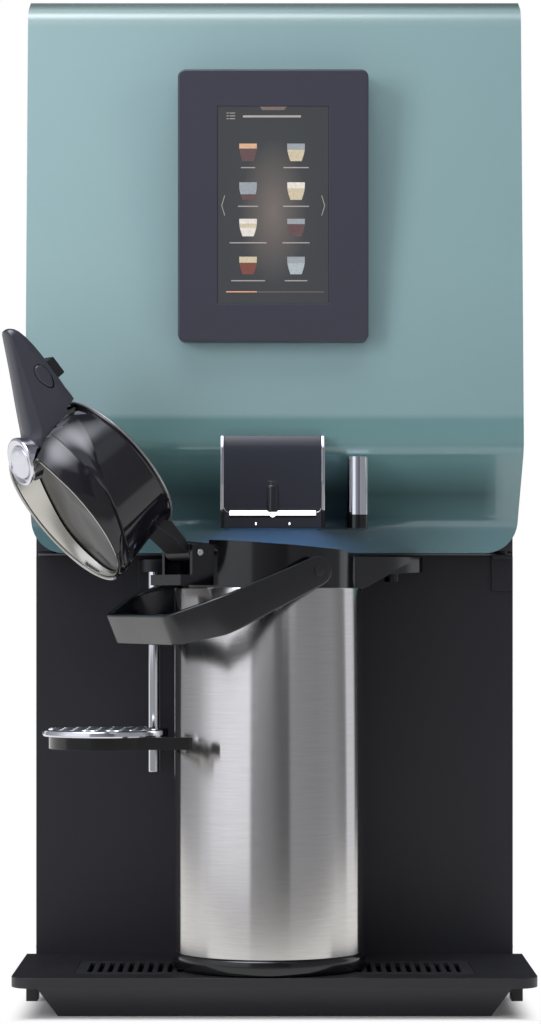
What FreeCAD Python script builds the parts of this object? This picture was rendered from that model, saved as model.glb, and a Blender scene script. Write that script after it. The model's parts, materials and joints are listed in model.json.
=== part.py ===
import FreeCAD, Part
import math
import os

# Instant drink dispenser with a lever pump flask standing under its outlet.
# X points right, Y to the back, Z up. The origin is on the ground under the middle of the footprint.

V = FreeCAD.Vector

# Cabinet of folded sheet steel
CABINET_WIDTH = 385.0
CABINET_DEPTH = 340.0
CABINET_TOP = 758.0
CABINET_FRONT = -85.0
SHEET = 1.5
FOOT_HEIGHT = 20.0
FOOT_RADIUS = 15.0
FOOT_INSET = 30.0
PAN_RIM = 12.0
DECK_TOP = 354.0
DOOR_FLANGE = 12.0
BULKHEAD_SETBACK = 225.0
FRONT_LEDGE = 14.0
LOUVRE_COUNT = 7
LOUVRE_PITCH = 12.0
LOUVRE_HEIGHT = 5.0
LOUVRE_BOTTOM = 600.0
LOUVRE_INSET = 41.0
LOUVRE_LENGTH = 90.0

# Door: a translucent curved panel on a moulded casing
PANEL_OVERHANG = 1.5
PANEL_THICKNESS = 4.0
PANEL_TOP = 792.0
PANEL_BOTTOM = 354.0
PANEL_CORNER = 26.0
PANEL_LIP_DEPTH = 31.0
PANEL_LIP_TOP = 378.0
PANEL_CHIN_DEPTH = 97.0
PANEL_CHIN_HEIGHT = 434.0
PANEL_SHOULDER_DEPTH = 66.0
PANEL_SHOULDER_HEIGHT = 780.0
PANEL_CREST_DEPTH = 36.0
CASING_WALL = 3.0
CASING_GAP = 0.2
HINGE_BOSS_HEIGHT = 18.0
HINGE_BOSS_HALF = 6.0
HINGE_PLATE = 3.0
PIN_ENGAGEMENT = 12.0
DOOR_GAP = 2.0
CASING_SIDE_GAP = 2.5
HINGE_PIN_RADIUS = 4.0
HINGE_INSET = 7.0
HINGE_AHEAD = 10.0
RUNNING_CLEARANCE = 0.08

# Touch screen module
SCREEN_WIDTH = 86.0
SCREEN_HEIGHT = 153.0
SCREEN_CENTRE_Z = 623.0
HOUSING_WIDTH = 148.0
HOUSING_BOTTOM = 517.0
HOUSING_HEIGHT = 211.3
HOUSING_CORNER = 6.0
MODULE_CENTRE_X = -1.0
HOUSING_FACE_DEPTH = 105.0

# Drink outlet and hot water tap
OUTLET_WIDTH = 81.0
OUTLET_CENTRE_X = -1.4
OUTLET_BOTTOM = 372.4
OUTLET_HEIGHT = 71.9
OUTLET_FACE_DEPTH = 110.0
OUTLET_WALL = 2.5
OUTLET_FRAME = 3.0
NOZZLE_DEPTH = 94.0
NOZZLE_RADIUS = 6.0
NOZZLE_SPREAD = 9.0
TAP_CENTRE_X = 64.5
TAP_WIDTH = 16.5
TAP_TOP = 428.0
TAP_FOOT_TOP = 383.0
TAP_FACE_DEPTH = 105.0
MANIFOLD_BOTTOM = 379.0
MANIFOLD_TOP = 391.0

# Powder canisters, augers and mixers
CANISTER_COUNT = 3
CANISTER_SIDE_ROOM = 17.0
CANISTER_GAP = 12.0
CANISTER_DEPTH = 186.0
CANISTER_WALL = 2.0
HOPPER_RISE = 80.0
ELBOW_REACH = 26.0
ELBOW_HALF = 20.0
CHUTE_HALF = 12.0
CHUTE_DROP = 12.0
SHELF_LEDGE = 2.0
LID_THICKNESS = 3.0
SHELF_TOP = 518.0
CANISTER_TOP = 700.0
CANISTER_FRONT = -54.0
AUGER_RADIUS = 13.0
AUGER_RISE = 18.0
AUGER_BLADE_COUNT = 30
AUGER_BLADE = 2.4
AUGER_BLADE_HALF = 2.5
BOWL_RADIUS = 27.0
BOWL_RISE = 26.0
BOWL_HEIGHT = 26.0
BOWL_CONE = 12.0
BOWL_WALL = 2.0
BOWL_THROAT = 12.0
MIXER_Y = -56.0
MIXER_AXIS_Z = 450.0
MIXER_PLATE_SETBACK = 20.0
MIXER_PLATE_THICKNESS = 2.0
MIXER_PLATE_SIDE_GAP = 16.0
MIXER_PLATE_RISE = 16.0
MIXER_SHAFT = 3.0
MIXER_SHAFT_HOLE = 5.0
CHAMBER_RADIUS = 17.0
CHAMBER_AHEAD = 14.0
IMPELLER_RADIUS = 12.0
AUGER_MOTOR_RADIUS = 24.0
AUGER_MOTOR_LENGTH = 34.0
AUGER_MOTOR_TAIL = 30.0
MIXER_MOTOR_RADIUS = 18.0
MIXER_MOTOR_LENGTH = 44.0
HOSE_RADIUS = 4.5
HOSE_DROP = 13.0
HOSE_SPREAD = 13.0
SPIGOT_RADIUS = 6.5
SPIGOT_LENGTH = 22.0
VALVE_OUTLET_RISE = 48.0
VALVE_HALF = 14.0
VALVE_FRONT = -28.0
VALVE_DEPTH = 30.0
HOSE_END_AHEAD = 17.0

# Boiler, power supply, control board, fan, water inlet and power inlet
TANK_X = 70.0
TANK_Y = 130.0
TANK_RADIUS = 80.0
TANK_BOTTOM = 62.0
TANK_TOP = 300.0
TANK_WALL = 2.0
TANK_LEG_CIRCLE = 60.0
TANK_LEG_RADIUS = 6.0
HEATER_RADIUS = 32.0
HEATER_NECK = 18.0
HEATER_LIFT = 30.0
HEATER_HALF_SPREAD = 8.0
SUPPLY_INSET = 31.0
SUPPLY_WIDTH = 100.0
SUPPLY_DEPTH = 140.0
SUPPLY_FRONT = 20.0
SUPPLY_HEIGHT = 42.0
TERMINALS_INSET = 10.0
TERMINALS_DEPTH = 30.0
TERMINALS_HEIGHT = 6.0
BOARD_INSET = 41.0
BOARD_WIDTH = 170.0
BOARD_HEIGHT = 140.0
BOARD_BOTTOM = 430.0
BOARD_THICKNESS = 2.0
BOARD_STANDOFF = 10.0
BOARD_POST_INSET = 8.0
FAN_X = 110.0
FAN_Z = 650.0
FAN_RADIUS = 38.0
FAN_RIM = 2.0
FAN_DEPTH = 25.0
FAN_HUB = 14.0
FAN_BLADE_COUNT = 7
INLET_X = -120.0
INLET_Z = 80.0
INLET_RADIUS = 13.2
INLET_BORE = 9.0
INLET_GAP = 3.0
INLET_FLANGE = 20.0
INLET_BODY = 18.0
INLET_REACH = 18.0
POWER_X = -50.0
POWER_HALF_WIDTH = 13.5
POWER_HALF_HEIGHT = 10.0
POWER_DEPTH = 24.0
POWER_WALL = 1.5

# Door lock: a turning hook that catches a pin in the cabinet
LOCK_Z = 560.0
LOCK_AHEAD = 14.0
LOCK_REACH = 24.0
LOCK_RADIUS = 8.0
STRIKE_RADIUS = 2.5

# Drip tray
TRAY_WIDTH = 400.0
TRAY_DEPTH = 170.0
TRAY_TOP = 31.0
TRAY_FLANGE = 8.0
TRAY_CORNER = 18.0
TRAY_BOWL_INSET = 20.0
TRAY_BOWL_DEPTH = 165.0
TRAY_BOWL_SLOPE = 15.0
TRAY_WALL = 2.0
GRILL_INSET = 47.0
GRILL_NEAR = 136.0
GRILL_FAR = 56.0
GRILL_THICKNESS = 3.0
GRILL_LEDGE = 3.0
GRILL_GAP = 0.3
GRILL_SLOT_COUNT = 38
GRILL_END_RIM = 7.0
GRILL_SIDE_RIM = 8.0
LEG_INSET = 4.0
LEG_WIDTH = 9.0
LEG_NEAR = 60.0
LEG_FAR = 38.0
FLOAT_POST_INSET = 30.0
FLOAT_POST_RADIUS = 3.0
FLOAT_RADIUS = 14.0
FLOAT_HEIGHT = 10.0

# Swivelling cup holder
ROD_X = -96.0
ROD_AHEAD = 25.0
ROD_RADIUS = 5.5
ROD_BOTTOM = 179.0
ROD_BRACKET_BOTTOM = 339.0
ROD_BRACKET_TOP = 349.0
CUP_X = -131.0
CUP_AHEAD = 140.0
CUP_TRAY_RADIUS = 41.3
CUP_RIM_RADIUS = 46.0
CUP_TRAY_TOP = 213.0
CUP_TRAY_HEIGHT = 9.5
TONGUE_TIP_X = -61.5
TONGUE_AHEAD = 165.0
TONGUE_HALF = 6.0

# Pump flask
FLASK_X = -4.0
FLASK_AHEAD = 94.0
FLASK_TURN = 28.0
FLASK_RADIUS = 74.0
FLASK_BASE_RADIUS = 75.15
FLASK_BASE_TOP = 44.0
FLASK_SHOULDER = 326.0
FLASK_WALL = 1.2
LINER_RADIUS = 64.0
COLLAR_RADIUS = 67.5
MOUTH_RADIUS = 48.0
MOUTH_OFFSET = 8.0
COLLAR_TOP = 357.5
COLLAR_SLOPE = 5.5
SPOUT_REACH = 135.0
SPOUT_TOP = 350.5
LID_HINGE_BACK = 74.0
LID_HINGE_Z = 353.0
LID_OPEN = 130.0
LID_RIM_CENTRE = 89.0
LID_RIM_RADIUS = 59.0
LID_RIM_RISE = 4.0
PLATE_CENTRE = 87.3
PLATE_ALONG = 66.0
PLATE_ACROSS = 50.0
PLATE_BOTTOM = 57.5
PLATE_TOP = 63.0
BAND_TOP = 65.5
BELLOWS_CENTRE = 84.0
NOSE_BACK = 153.0
NOSE_TIP = 220.0
NOSE_HALF = 18.0
BADGE_A = 139.6
BADGE_H = 62.2
BADGE_TILT = 38.0
BAIL_PIVOT_Z = 338.7
BAIL_HALF_WIDTH = 80.5
BAIL_REACH = 121.0
BAIL_THICKNESS = 5.0
BAIL_DROP = 22.0
BAIL_END_RADIUS = 11.3

CABINET_BACK = CABINET_FRONT + CABINET_DEPTH
HALF = CABINET_WIDTH / 2
INNER = HALF - SHEET
PANEL_WIDTH = CABINET_WIDTH + 2 * PANEL_OVERHANG
CASING_HALF_WIDTH = HALF - CASING_SIDE_GAP
HINGE_X = CASING_HALF_WIDTH - HINGE_INSET
BULKHEAD_Y = CABINET_FRONT + BULKHEAD_SETBACK
AUGER_Z = SHELF_TOP + AUGER_RISE
MIXER_PLATE_Y = MIXER_Y + MIXER_PLATE_SETBACK
CANISTER_BACK = CANISTER_FRONT + CANISTER_DEPTH
CANISTER_PITCH = (2 * (INNER - CANISTER_SIDE_ROOM) + CANISTER_GAP) / CANISTER_COUNT
CANISTER_WIDTH = CANISTER_PITCH - CANISTER_GAP
LOCK_Y = CABINET_FRONT - LOCK_AHEAD
LOCK_STRIKE_Y = LOCK_Y + LOCK_REACH
BAIL_INNER = BAIL_HALF_WIDTH - BAIL_THICKNESS
TRAY_HALF = TRAY_WIDTH / 2
GRILL_HALF = TRAY_HALF - GRILL_INSET
FAR = 2000.0


def ahead(depth):
    """Y of a place so far in front of the lower front panel."""
    return CABINET_FRONT - depth


def box(x0, x1, y0, y1, z0, z1):
    """Block between two corners, given in any order."""
    low = V(min(x0, x1), min(y0, y1), min(z0, z1))
    return Part.makeBox(abs(x1 - x0), abs(y1 - y0), abs(z1 - z0), low)


def rod(start, end, radius):
    """Round bar from one point to another."""
    run = end - start
    return Part.makeCylinder(radius, run.Length, start, run)


def prism(points, direction):
    """Solid swept along a direction from a closed outline of points."""
    outline = Part.makePolygon(list(points) + [points[0]])
    return Part.Face(outline).extrude(direction)


def rounded_plate(x0, x1, z0, z1, y0, y1, radius):
    """Plate in the XZ plane with round corners, between two depths."""
    plate = box(x0, x1, y0, y1, z0, z1)
    edges = [e for e in plate.Edges if abs(e.tangentAt(e.FirstParameter).y) > 0.9]
    return plate.makeFillet(radius, edges)


def corner_arc(before, corner, after, radius):
    """Tangent points and middle of the arc that rounds a corner."""
    to_before = (before - corner).normalize()
    to_after = (after - corner).normalize()
    half_angle = to_before.getAngle(to_after) / 2
    reach = radius / math.tan(half_angle)
    bisector = (to_before + to_after).normalize()
    middle = corner + bisector * (radius / math.sin(half_angle) - radius)
    return corner + to_before * reach, middle, corner + to_after * reach


def rounded_path(points, radii):
    """Open wire of straight runs joined by tangent arcs."""
    edges = []
    last = points[0]
    for index in range(1, len(points) - 1):
        start, middle, end = corner_arc(points[index - 1], points[index], points[index + 1], radii[index])
        edges.append(Part.LineSegment(last, start).toShape())
        edges.append(Part.Arc(start, middle, end).toShape())
        last = end
    edges.append(Part.LineSegment(last, points[-1]).toShape())
    return edges


def panel_corners(inset):
    """Side profile of the panel, moved inwards by an inset, and the radius at each corner."""
    base = [
        V(0, ahead(PANEL_CREST_DEPTH), PANEL_TOP),
        V(0, ahead(PANEL_SHOULDER_DEPTH), PANEL_SHOULDER_HEIGHT),
        V(0, ahead(PANEL_CHIN_DEPTH), PANEL_CHIN_HEIGHT),
        V(0, ahead(PANEL_LIP_DEPTH), PANEL_LIP_TOP),
        V(0, ahead(PANEL_LIP_DEPTH), PANEL_BOTTOM),
    ]
    radii = [0, 14 - inset, 16 - inset, 14 + inset, 0]
    normals = []
    for start, end in zip(base, base[1:]):
        run = (end - start).normalize()
        normals.append(V(0, -run.z, run.y))
    moved = [base[0] + normals[0] * inset]
    for index in range(1, len(base) - 1):
        first = normals[index - 1]
        second = normals[index]
        bisector = (first + second).normalize()
        moved.append(base[index] + bisector * (inset / bisector.dot(first)))
    moved.append(base[-1] + normals[-1] * inset)
    return moved, radii


def profile_block(inset, half_width, y_back):
    """Everything behind the panel's profile, moved inwards by an inset, as one solid."""
    points, radii = panel_corners(inset)
    edges = rounded_path(points, radii)
    top = V(0, y_back, points[0].z)
    bottom = V(0, y_back, points[-1].z)
    edges.append(Part.LineSegment(points[-1], bottom).toShape())
    edges.append(Part.LineSegment(bottom, top).toShape())
    edges.append(Part.LineSegment(top, points[0]).toShape())
    face = Part.Face(Part.Wire(edges))
    face.translate(V(-half_width, 0, 0))
    return face.extrude(V(2 * half_width, 0, 0))


def bent_tube(points, radius, bend):
    """Round tube along straight runs with tangent bends."""
    path = Part.Wire(rounded_path(points, [bend] * len(points)))
    run = points[1] - points[0]
    ring = Part.Wire(Part.makeCircle(radius, points[0], run))
    return path.makePipeShell([ring], True, False)


def save(name, *solids):
    """Write one node as a STEP file."""
    shape = solids[0] if len(solids) == 1 else Part.makeCompound(list(solids))
    if len(solids) == 1 and len(shape.Solids) == 1:
        shape = shape.Solids[0]
    shape.exportStep("parts/" + name + ".step")
    box_size = shape.BoundBox
    print(name, len(shape.Solids), shape.isValid(), round(shape.Volume / 1000, 1),
          "x %.1f %.1f y %.1f %.1f z %.1f %.1f" % (
              box_size.XMin, box_size.XMax, box_size.YMin, box_size.YMax, box_size.ZMin, box_size.ZMax))


def make_cabinet():
    """Folded sheet cabinet: pan, sides, back, top, lower front, deck and feet."""
    y0 = CABINET_FRONT + SHEET
    y1 = CABINET_BACK - SHEET
    pan = box(-INNER, INNER, y0, y1, FOOT_HEIGHT, FOOT_HEIGHT + PAN_RIM)
    pan = pan.cut(box(-INNER + SHEET, INNER - SHEET, y0 + SHEET, y1 - SHEET, FOOT_HEIGHT + SHEET,
                      FOOT_HEIGHT + PAN_RIM + 1))
    save("base_pan", pan)

    inset = FOOT_INSET
    places = [V(x, y, 0) for x in (-HALF + inset, HALF - inset) for y in (y0 + inset, y1 - inset)]
    feet = [Part.makeCone(FOOT_RADIUS - 2, FOOT_RADIUS, FOOT_HEIGHT, place) for place in places + [V(0, 0, 0)]]
    save("rubber_feet", *feet)

    flange_top = CABINET_TOP - SHEET
    for side, name in ((-1, "side_panel_left"), (1, "side_panel_right")):
        wall = box(side * INNER, side * HALF, y0, CABINET_BACK, FOOT_HEIGHT, CABINET_TOP)
        fold = box(side * (INNER - DOOR_FLANGE), side * INNER, y0, y0 + SHEET, DECK_TOP, flange_top)
        if side < 0:
            fold = fold.cut(box(-INNER + 4, -INNER + DOOR_FLANGE + 1, y0 - 1, y0 + 5,
                                LOCK_Z - 28, LOCK_Z + 38))
            strike = rod(V(-INNER, LOCK_STRIKE_Y, LOCK_Z), V(-INNER + 12, LOCK_STRIKE_Y, LOCK_Z), STRIKE_RADIUS)
            fold = fold.fuse(strike)
        save(name, wall.fuse(fold).removeSplitter())

    back = box(-INNER, INNER, y1, CABINET_BACK, FOOT_HEIGHT, CABINET_TOP)
    louvre_x = -INNER + LOUVRE_INSET
    for row in range(LOUVRE_COUNT):
        z = LOUVRE_BOTTOM + row * LOUVRE_PITCH
        back = back.cut(box(louvre_x, louvre_x + LOUVRE_LENGTH, y1 - 1, CABINET_BACK + 1, z, z + LOUVRE_HEIGHT))
    back = back.cut(rod(V(FAN_X, y1 - 1, FAN_Z), V(FAN_X, CABINET_BACK + 1, FAN_Z), FAN_RADIUS))
    back = back.cut(rod(V(INLET_X, y1 - 1, INLET_Z), V(INLET_X, CABINET_BACK + 1, INLET_Z),
                        INLET_RADIUS + INLET_GAP))
    back = back.cut(box(POWER_X - POWER_HALF_WIDTH, POWER_X + POWER_HALF_WIDTH, y1 - 1, CABINET_BACK + 1,
                        INLET_Z - POWER_HALF_HEIGHT, INLET_Z + POWER_HALF_HEIGHT))
    top = box(-INNER, INNER, y0, y1, CABINET_TOP - SHEET, CABINET_TOP)
    save("rear_top_cover", back.fuse(top).removeSplitter())

    front = box(-HALF, HALF, CABINET_FRONT, y0, FOOT_HEIGHT, DECK_TOP - SHEET)
    front = front.fuse(box(-INNER, INNER, y0, y0 + FRONT_LEDGE, DECK_TOP - 2 * SHEET, DECK_TOP - SHEET))
    save("lower_front_panel", front.removeSplitter())

    deck = box(-INNER, INNER, y0, y1, DECK_TOP - SHEET, DECK_TOP)
    deck = deck.cut(rod(V(TANK_X, TANK_Y, DECK_TOP - 5), V(TANK_X, TANK_Y, DECK_TOP + 5), 8))
    plate_half = INNER - MIXER_PLATE_SIDE_GAP
    plate = box(-plate_half, plate_half, MIXER_PLATE_Y, MIXER_PLATE_Y + MIXER_PLATE_THICKNESS, DECK_TOP,
                MIXER_AXIS_Z + MIXER_PLATE_RISE)
    for x in canister_places():
        plate = plate.cut(rod(V(x, MIXER_PLATE_Y - 1, MIXER_AXIS_Z), V(x, MIXER_PLATE_Y + 4, MIXER_AXIS_Z),
                              MIXER_SHAFT_HOLE))
    hose_z = DECK_TOP + VALVE_OUTLET_RISE
    hose_hole = rod(V(TAP_CENTRE_X, MIXER_PLATE_Y - 1, hose_z), V(TAP_CENTRE_X, MIXER_PLATE_Y + 4, hose_z), SPIGOT_RADIUS)
    plate = plate.cut(hose_hole)
    save("deck", deck.fuse(plate).removeSplitter())

    bulkhead = box(-INNER, INNER, BULKHEAD_Y, BULKHEAD_Y + SHEET, DECK_TOP, CABINET_TOP - SHEET)
    for x in canister_places():
        bulkhead = bulkhead.cut(rod(V(x, BULKHEAD_Y - 1, AUGER_Z), V(x, BULKHEAD_Y + 4, AUGER_Z), 8))
    shelf = box(-INNER, INNER, CANISTER_FRONT - SHELF_LEDGE, BULKHEAD_Y, SHELF_TOP - SHEET, SHELF_TOP)
    save("canister_shelf", bulkhead.fuse(shelf).removeSplitter())


def canister_places():
    """X of each canister's middle."""
    first = -(CANISTER_COUNT - 1) / 2
    return [(first + index) * CANISTER_PITCH for index in range(CANISTER_COUNT)]


def make_canister(index, x):
    """One powder canister with its trough, outlet elbow, auger and hinged lid."""
    half = CANISTER_WIDTH / 2
    y0 = CANISTER_FRONT
    y1 = CANISTER_BACK
    body = box(x - half, x + half, y0, y1, SHELF_TOP, CANISTER_TOP)
    inner = half - CANISTER_WALL
    trough = AUGER_RADIUS + 1.5
    hopper = prism([V(x - inner, y0 + CANISTER_WALL, CANISTER_TOP + 1),
                    V(x + inner, y0 + CANISTER_WALL, CANISTER_TOP + 1),
                    V(x + inner, y0 + CANISTER_WALL, SHELF_TOP + HOPPER_RISE),
                    V(x + trough, y0 + CANISTER_WALL, AUGER_Z),
                    V(x - trough, y0 + CANISTER_WALL, AUGER_Z),
                    V(x - inner, y0 + CANISTER_WALL, SHELF_TOP + HOPPER_RISE)],
                   V(0, CANISTER_DEPTH - 2 * CANISTER_WALL, 0))
    channel = rod(V(x, y0 + CANISTER_WALL, AUGER_Z), V(x, y1 - CANISTER_WALL, AUGER_Z), trough)
    elbow_y = y0 - ELBOW_REACH
    elbow = box(x - ELBOW_HALF, x + ELBOW_HALF, elbow_y, y0, SHELF_TOP, AUGER_Z + trough + 3.5)
    chute = box(x - CHUTE_HALF, x + CHUTE_HALF, elbow_y, y0 - 6, SHELF_TOP - CHUTE_DROP, SHELF_TOP)
    body = body.fuse(elbow).fuse(chute)
    body = body.cut(hopper).cut(channel)
    body = body.cut(rod(V(x, elbow_y + 4, AUGER_Z), V(x, y0 + 5, AUGER_Z), trough))
    body = body.cut(box(x - CHUTE_HALF + 3, x + CHUTE_HALF - 3, elbow_y + 3, y0 - 9, SHELF_TOP - CHUTE_DROP - 1,
                        AUGER_Z))
    shaft_bore = HINGE_PIN_RADIUS + RUNNING_CLEARANCE
    body = body.cut(rod(V(x, y1 - 5, AUGER_Z), V(x, y1 + 1, AUGER_Z), shaft_bore))
    save("canister_%d" % index, body.removeSplitter())

    auger = rod(V(x, y0 - 18, AUGER_Z), V(x, y1 + 4, AUGER_Z), HINGE_PIN_RADIUS)
    pitch = (CANISTER_DEPTH + 10) / AUGER_BLADE_COUNT
    for number in range(AUGER_BLADE_COUNT):
        y = y0 - 16 + number * pitch
        blade = box(x - AUGER_BLADE_HALF, x + AUGER_BLADE_HALF, y, y + AUGER_BLADE, AUGER_Z,
                    AUGER_Z + AUGER_RADIUS)
        blade.rotate(V(x, y, AUGER_Z), V(0, 1, 0), number * 48)
        auger = auger.fuse(blade)
    auger = auger.fuse(box(x - 6, x + 6, y1 + 1, y1 + 4, AUGER_Z - 1.5, AUGER_Z + 1.5))
    save("auger_%d" % index, auger)

    lid_top = CANISTER_TOP + LID_THICKNESS
    lid = box(x - half, x + half, y0 - 1, y1 - 1, CANISTER_TOP, lid_top)
    lid = lid.fuse(box(x - 16, x + 16, y0 + 8, y0 + 14, lid_top, lid_top + 6))
    lid = lid.fuse(box(x - 20, x + 20, y1 - 1, y1 + 3, CANISTER_TOP + 0.5, lid_top))
    save("canister_lid_%d" % index, lid.removeSplitter())


def make_drives():
    """Auger motors behind the bulkhead and mixers in front of the mixer plate."""
    auger_motors = []
    bowls = []
    mixer_motors = []
    hoses = []
    front = BULKHEAD_Y + SHEET
    outlet_y = MIXER_Y - 4
    hose_end_y = ahead(HOSE_END_AHEAD)
    for index, x in enumerate(canister_places(), 1):
        tail = front + AUGER_MOTOR_LENGTH
        motor = rod(V(x, front, AUGER_Z), V(x, tail, AUGER_Z), AUGER_MOTOR_RADIUS)
        motor = motor.fuse(box(x - 15, x + 15, tail, tail + AUGER_MOTOR_TAIL, AUGER_Z - 15, AUGER_Z + 15))
        motor = motor.fuse(rod(V(x, CANISTER_BACK + 4.3, AUGER_Z), V(x, front, AUGER_Z), 6))
        auger_motors.append(motor)

        bowl_z = MIXER_AXIS_Z + BOWL_RISE
        cone_z = bowl_z - BOWL_CONE
        spout_z = MIXER_AXIS_Z - SPIGOT_LENGTH
        chamber_y = MIXER_Y - CHAMBER_AHEAD
        wall = BOWL_WALL
        bowl = rod(V(x, MIXER_Y, bowl_z), V(x, MIXER_Y, bowl_z + BOWL_HEIGHT), BOWL_RADIUS)
        bowl = bowl.fuse(Part.makeCone(BOWL_THROAT, BOWL_RADIUS, BOWL_CONE, V(x, MIXER_Y, cone_z)))
        bowl = bowl.fuse(rod(V(x, chamber_y, MIXER_AXIS_Z), V(x, MIXER_PLATE_Y, MIXER_AXIS_Z), CHAMBER_RADIUS))
        bowl = bowl.fuse(rod(V(x, outlet_y, spout_z), V(x, outlet_y, spout_z + wall + 10), SPIGOT_RADIUS))
        bowl = bowl.cut(rod(V(x, MIXER_Y, bowl_z), V(x, MIXER_Y, bowl_z + BOWL_HEIGHT + 1), BOWL_RADIUS - wall))
        bowl = bowl.cut(Part.makeCone(BOWL_THROAT - wall, BOWL_RADIUS - wall, BOWL_CONE + 0.5,
                                      V(x, MIXER_Y, cone_z - 0.4)))
        bowl = bowl.cut(rod(V(x, chamber_y + wall, MIXER_AXIS_Z), V(x, MIXER_PLATE_Y - wall, MIXER_AXIS_Z),
                            CHAMBER_RADIUS - wall))
        bowl = bowl.cut(rod(V(x, MIXER_PLATE_Y - wall - 1, MIXER_AXIS_Z), V(x, MIXER_PLATE_Y + 1, MIXER_AXIS_Z),
                            MIXER_SHAFT_HOLE))
        bowl = bowl.cut(rod(V(x, outlet_y, spout_z - 1), V(x, outlet_y, spout_z + wall + 12),
                            SPIGOT_RADIUS - wall))
        bowls.append(bowl)

        impeller = rod(V(x, MIXER_Y - 8, MIXER_AXIS_Z), V(x, MIXER_PLATE_Y + 6, MIXER_AXIS_Z), MIXER_SHAFT)
        impeller = impeller.fuse(rod(V(x, MIXER_Y + 2, MIXER_AXIS_Z), V(x, MIXER_Y + 4, MIXER_AXIS_Z),
                                     IMPELLER_RADIUS))
        for blade_number in range(6):
            blade = box(x - 0.8, x + 0.8, MIXER_Y - 6, MIXER_Y + 2, MIXER_AXIS_Z + 2,
                        MIXER_AXIS_Z + IMPELLER_RADIUS - 0.5)
            blade.rotate(V(x, 0, MIXER_AXIS_Z), V(0, 1, 0), blade_number * 60)
            impeller = impeller.fuse(blade)
        save("impeller_%d" % index, impeller)

        motor_y = MIXER_PLATE_Y + MIXER_PLATE_THICKNESS
        motor = rod(V(x, motor_y, MIXER_AXIS_Z), V(x, motor_y + MIXER_MOTOR_LENGTH, MIXER_AXIS_Z),
                    MIXER_MOTOR_RADIUS)
        motor = motor.cut(rod(V(x, MIXER_PLATE_Y, MIXER_AXIS_Z), V(x, MIXER_PLATE_Y + 7, MIXER_AXIS_Z),
                              MIXER_SHAFT + RUNNING_CLEARANCE))
        mixer_motors.append(motor)

        end_x = x / CANISTER_PITCH * HOSE_SPREAD
        start = V(x, outlet_y, spout_z)
        route = [start, start - V(0, 0, HOSE_DROP), V(end_x, hose_end_y, MANIFOLD_TOP + 15),
                 V(end_x, hose_end_y, MANIFOLD_TOP + 1)]
        hoses.append(bent_tube(route, HOSE_RADIUS, 8))
    save("drive_motors", *auger_motors, *mixer_motors)
    save("mixer_bowls", *bowls)

    valve_x = TAP_CENTRE_X
    hose_z = DECK_TOP + VALVE_OUTLET_RISE
    hose_start = V(valve_x, VALVE_FRONT - 6, hose_z)
    valve = box(valve_x - VALVE_HALF, valve_x + VALVE_HALF, VALVE_FRONT, VALVE_FRONT + VALVE_DEPTH, DECK_TOP,
                hose_z + 8)
    valve = valve.fuse(rod(V(valve_x, VALVE_FRONT, hose_z), hose_start, 6))
    route = [hose_start, V(valve_x, hose_end_y, hose_z), V(valve_x, hose_end_y, MANIFOLD_TOP + 1)]
    hoses.append(bent_tube(route, HOSE_RADIUS, 6))
    save("outlet_hoses", *hoses)
    save("water_valves", valve.removeSplitter(), make_inlet_valve())


def make_inlet_valve():
    """Solenoid valve with the threaded water inlet through the back."""
    y1 = CABINET_BACK - SHEET
    inlet_end = CABINET_BACK + INLET_REACH
    inlet = rod(V(INLET_X, y1 - 40, INLET_Z), V(INLET_X, inlet_end, INLET_Z), INLET_RADIUS)
    inlet = inlet.fuse(rod(V(INLET_X, y1 - 5, INLET_Z), V(INLET_X, y1, INLET_Z), INLET_FLANGE))
    inlet = inlet.fuse(box(INLET_X - INLET_BODY, INLET_X + INLET_BODY, y1 - 70, y1 - 36, INLET_Z - INLET_BODY,
                           INLET_Z + 30))
    inlet = inlet.cut(rod(V(INLET_X, y1 - 30, INLET_Z), V(INLET_X, inlet_end + 1, INLET_Z), INLET_BORE))
    return inlet.removeSplitter()


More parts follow.
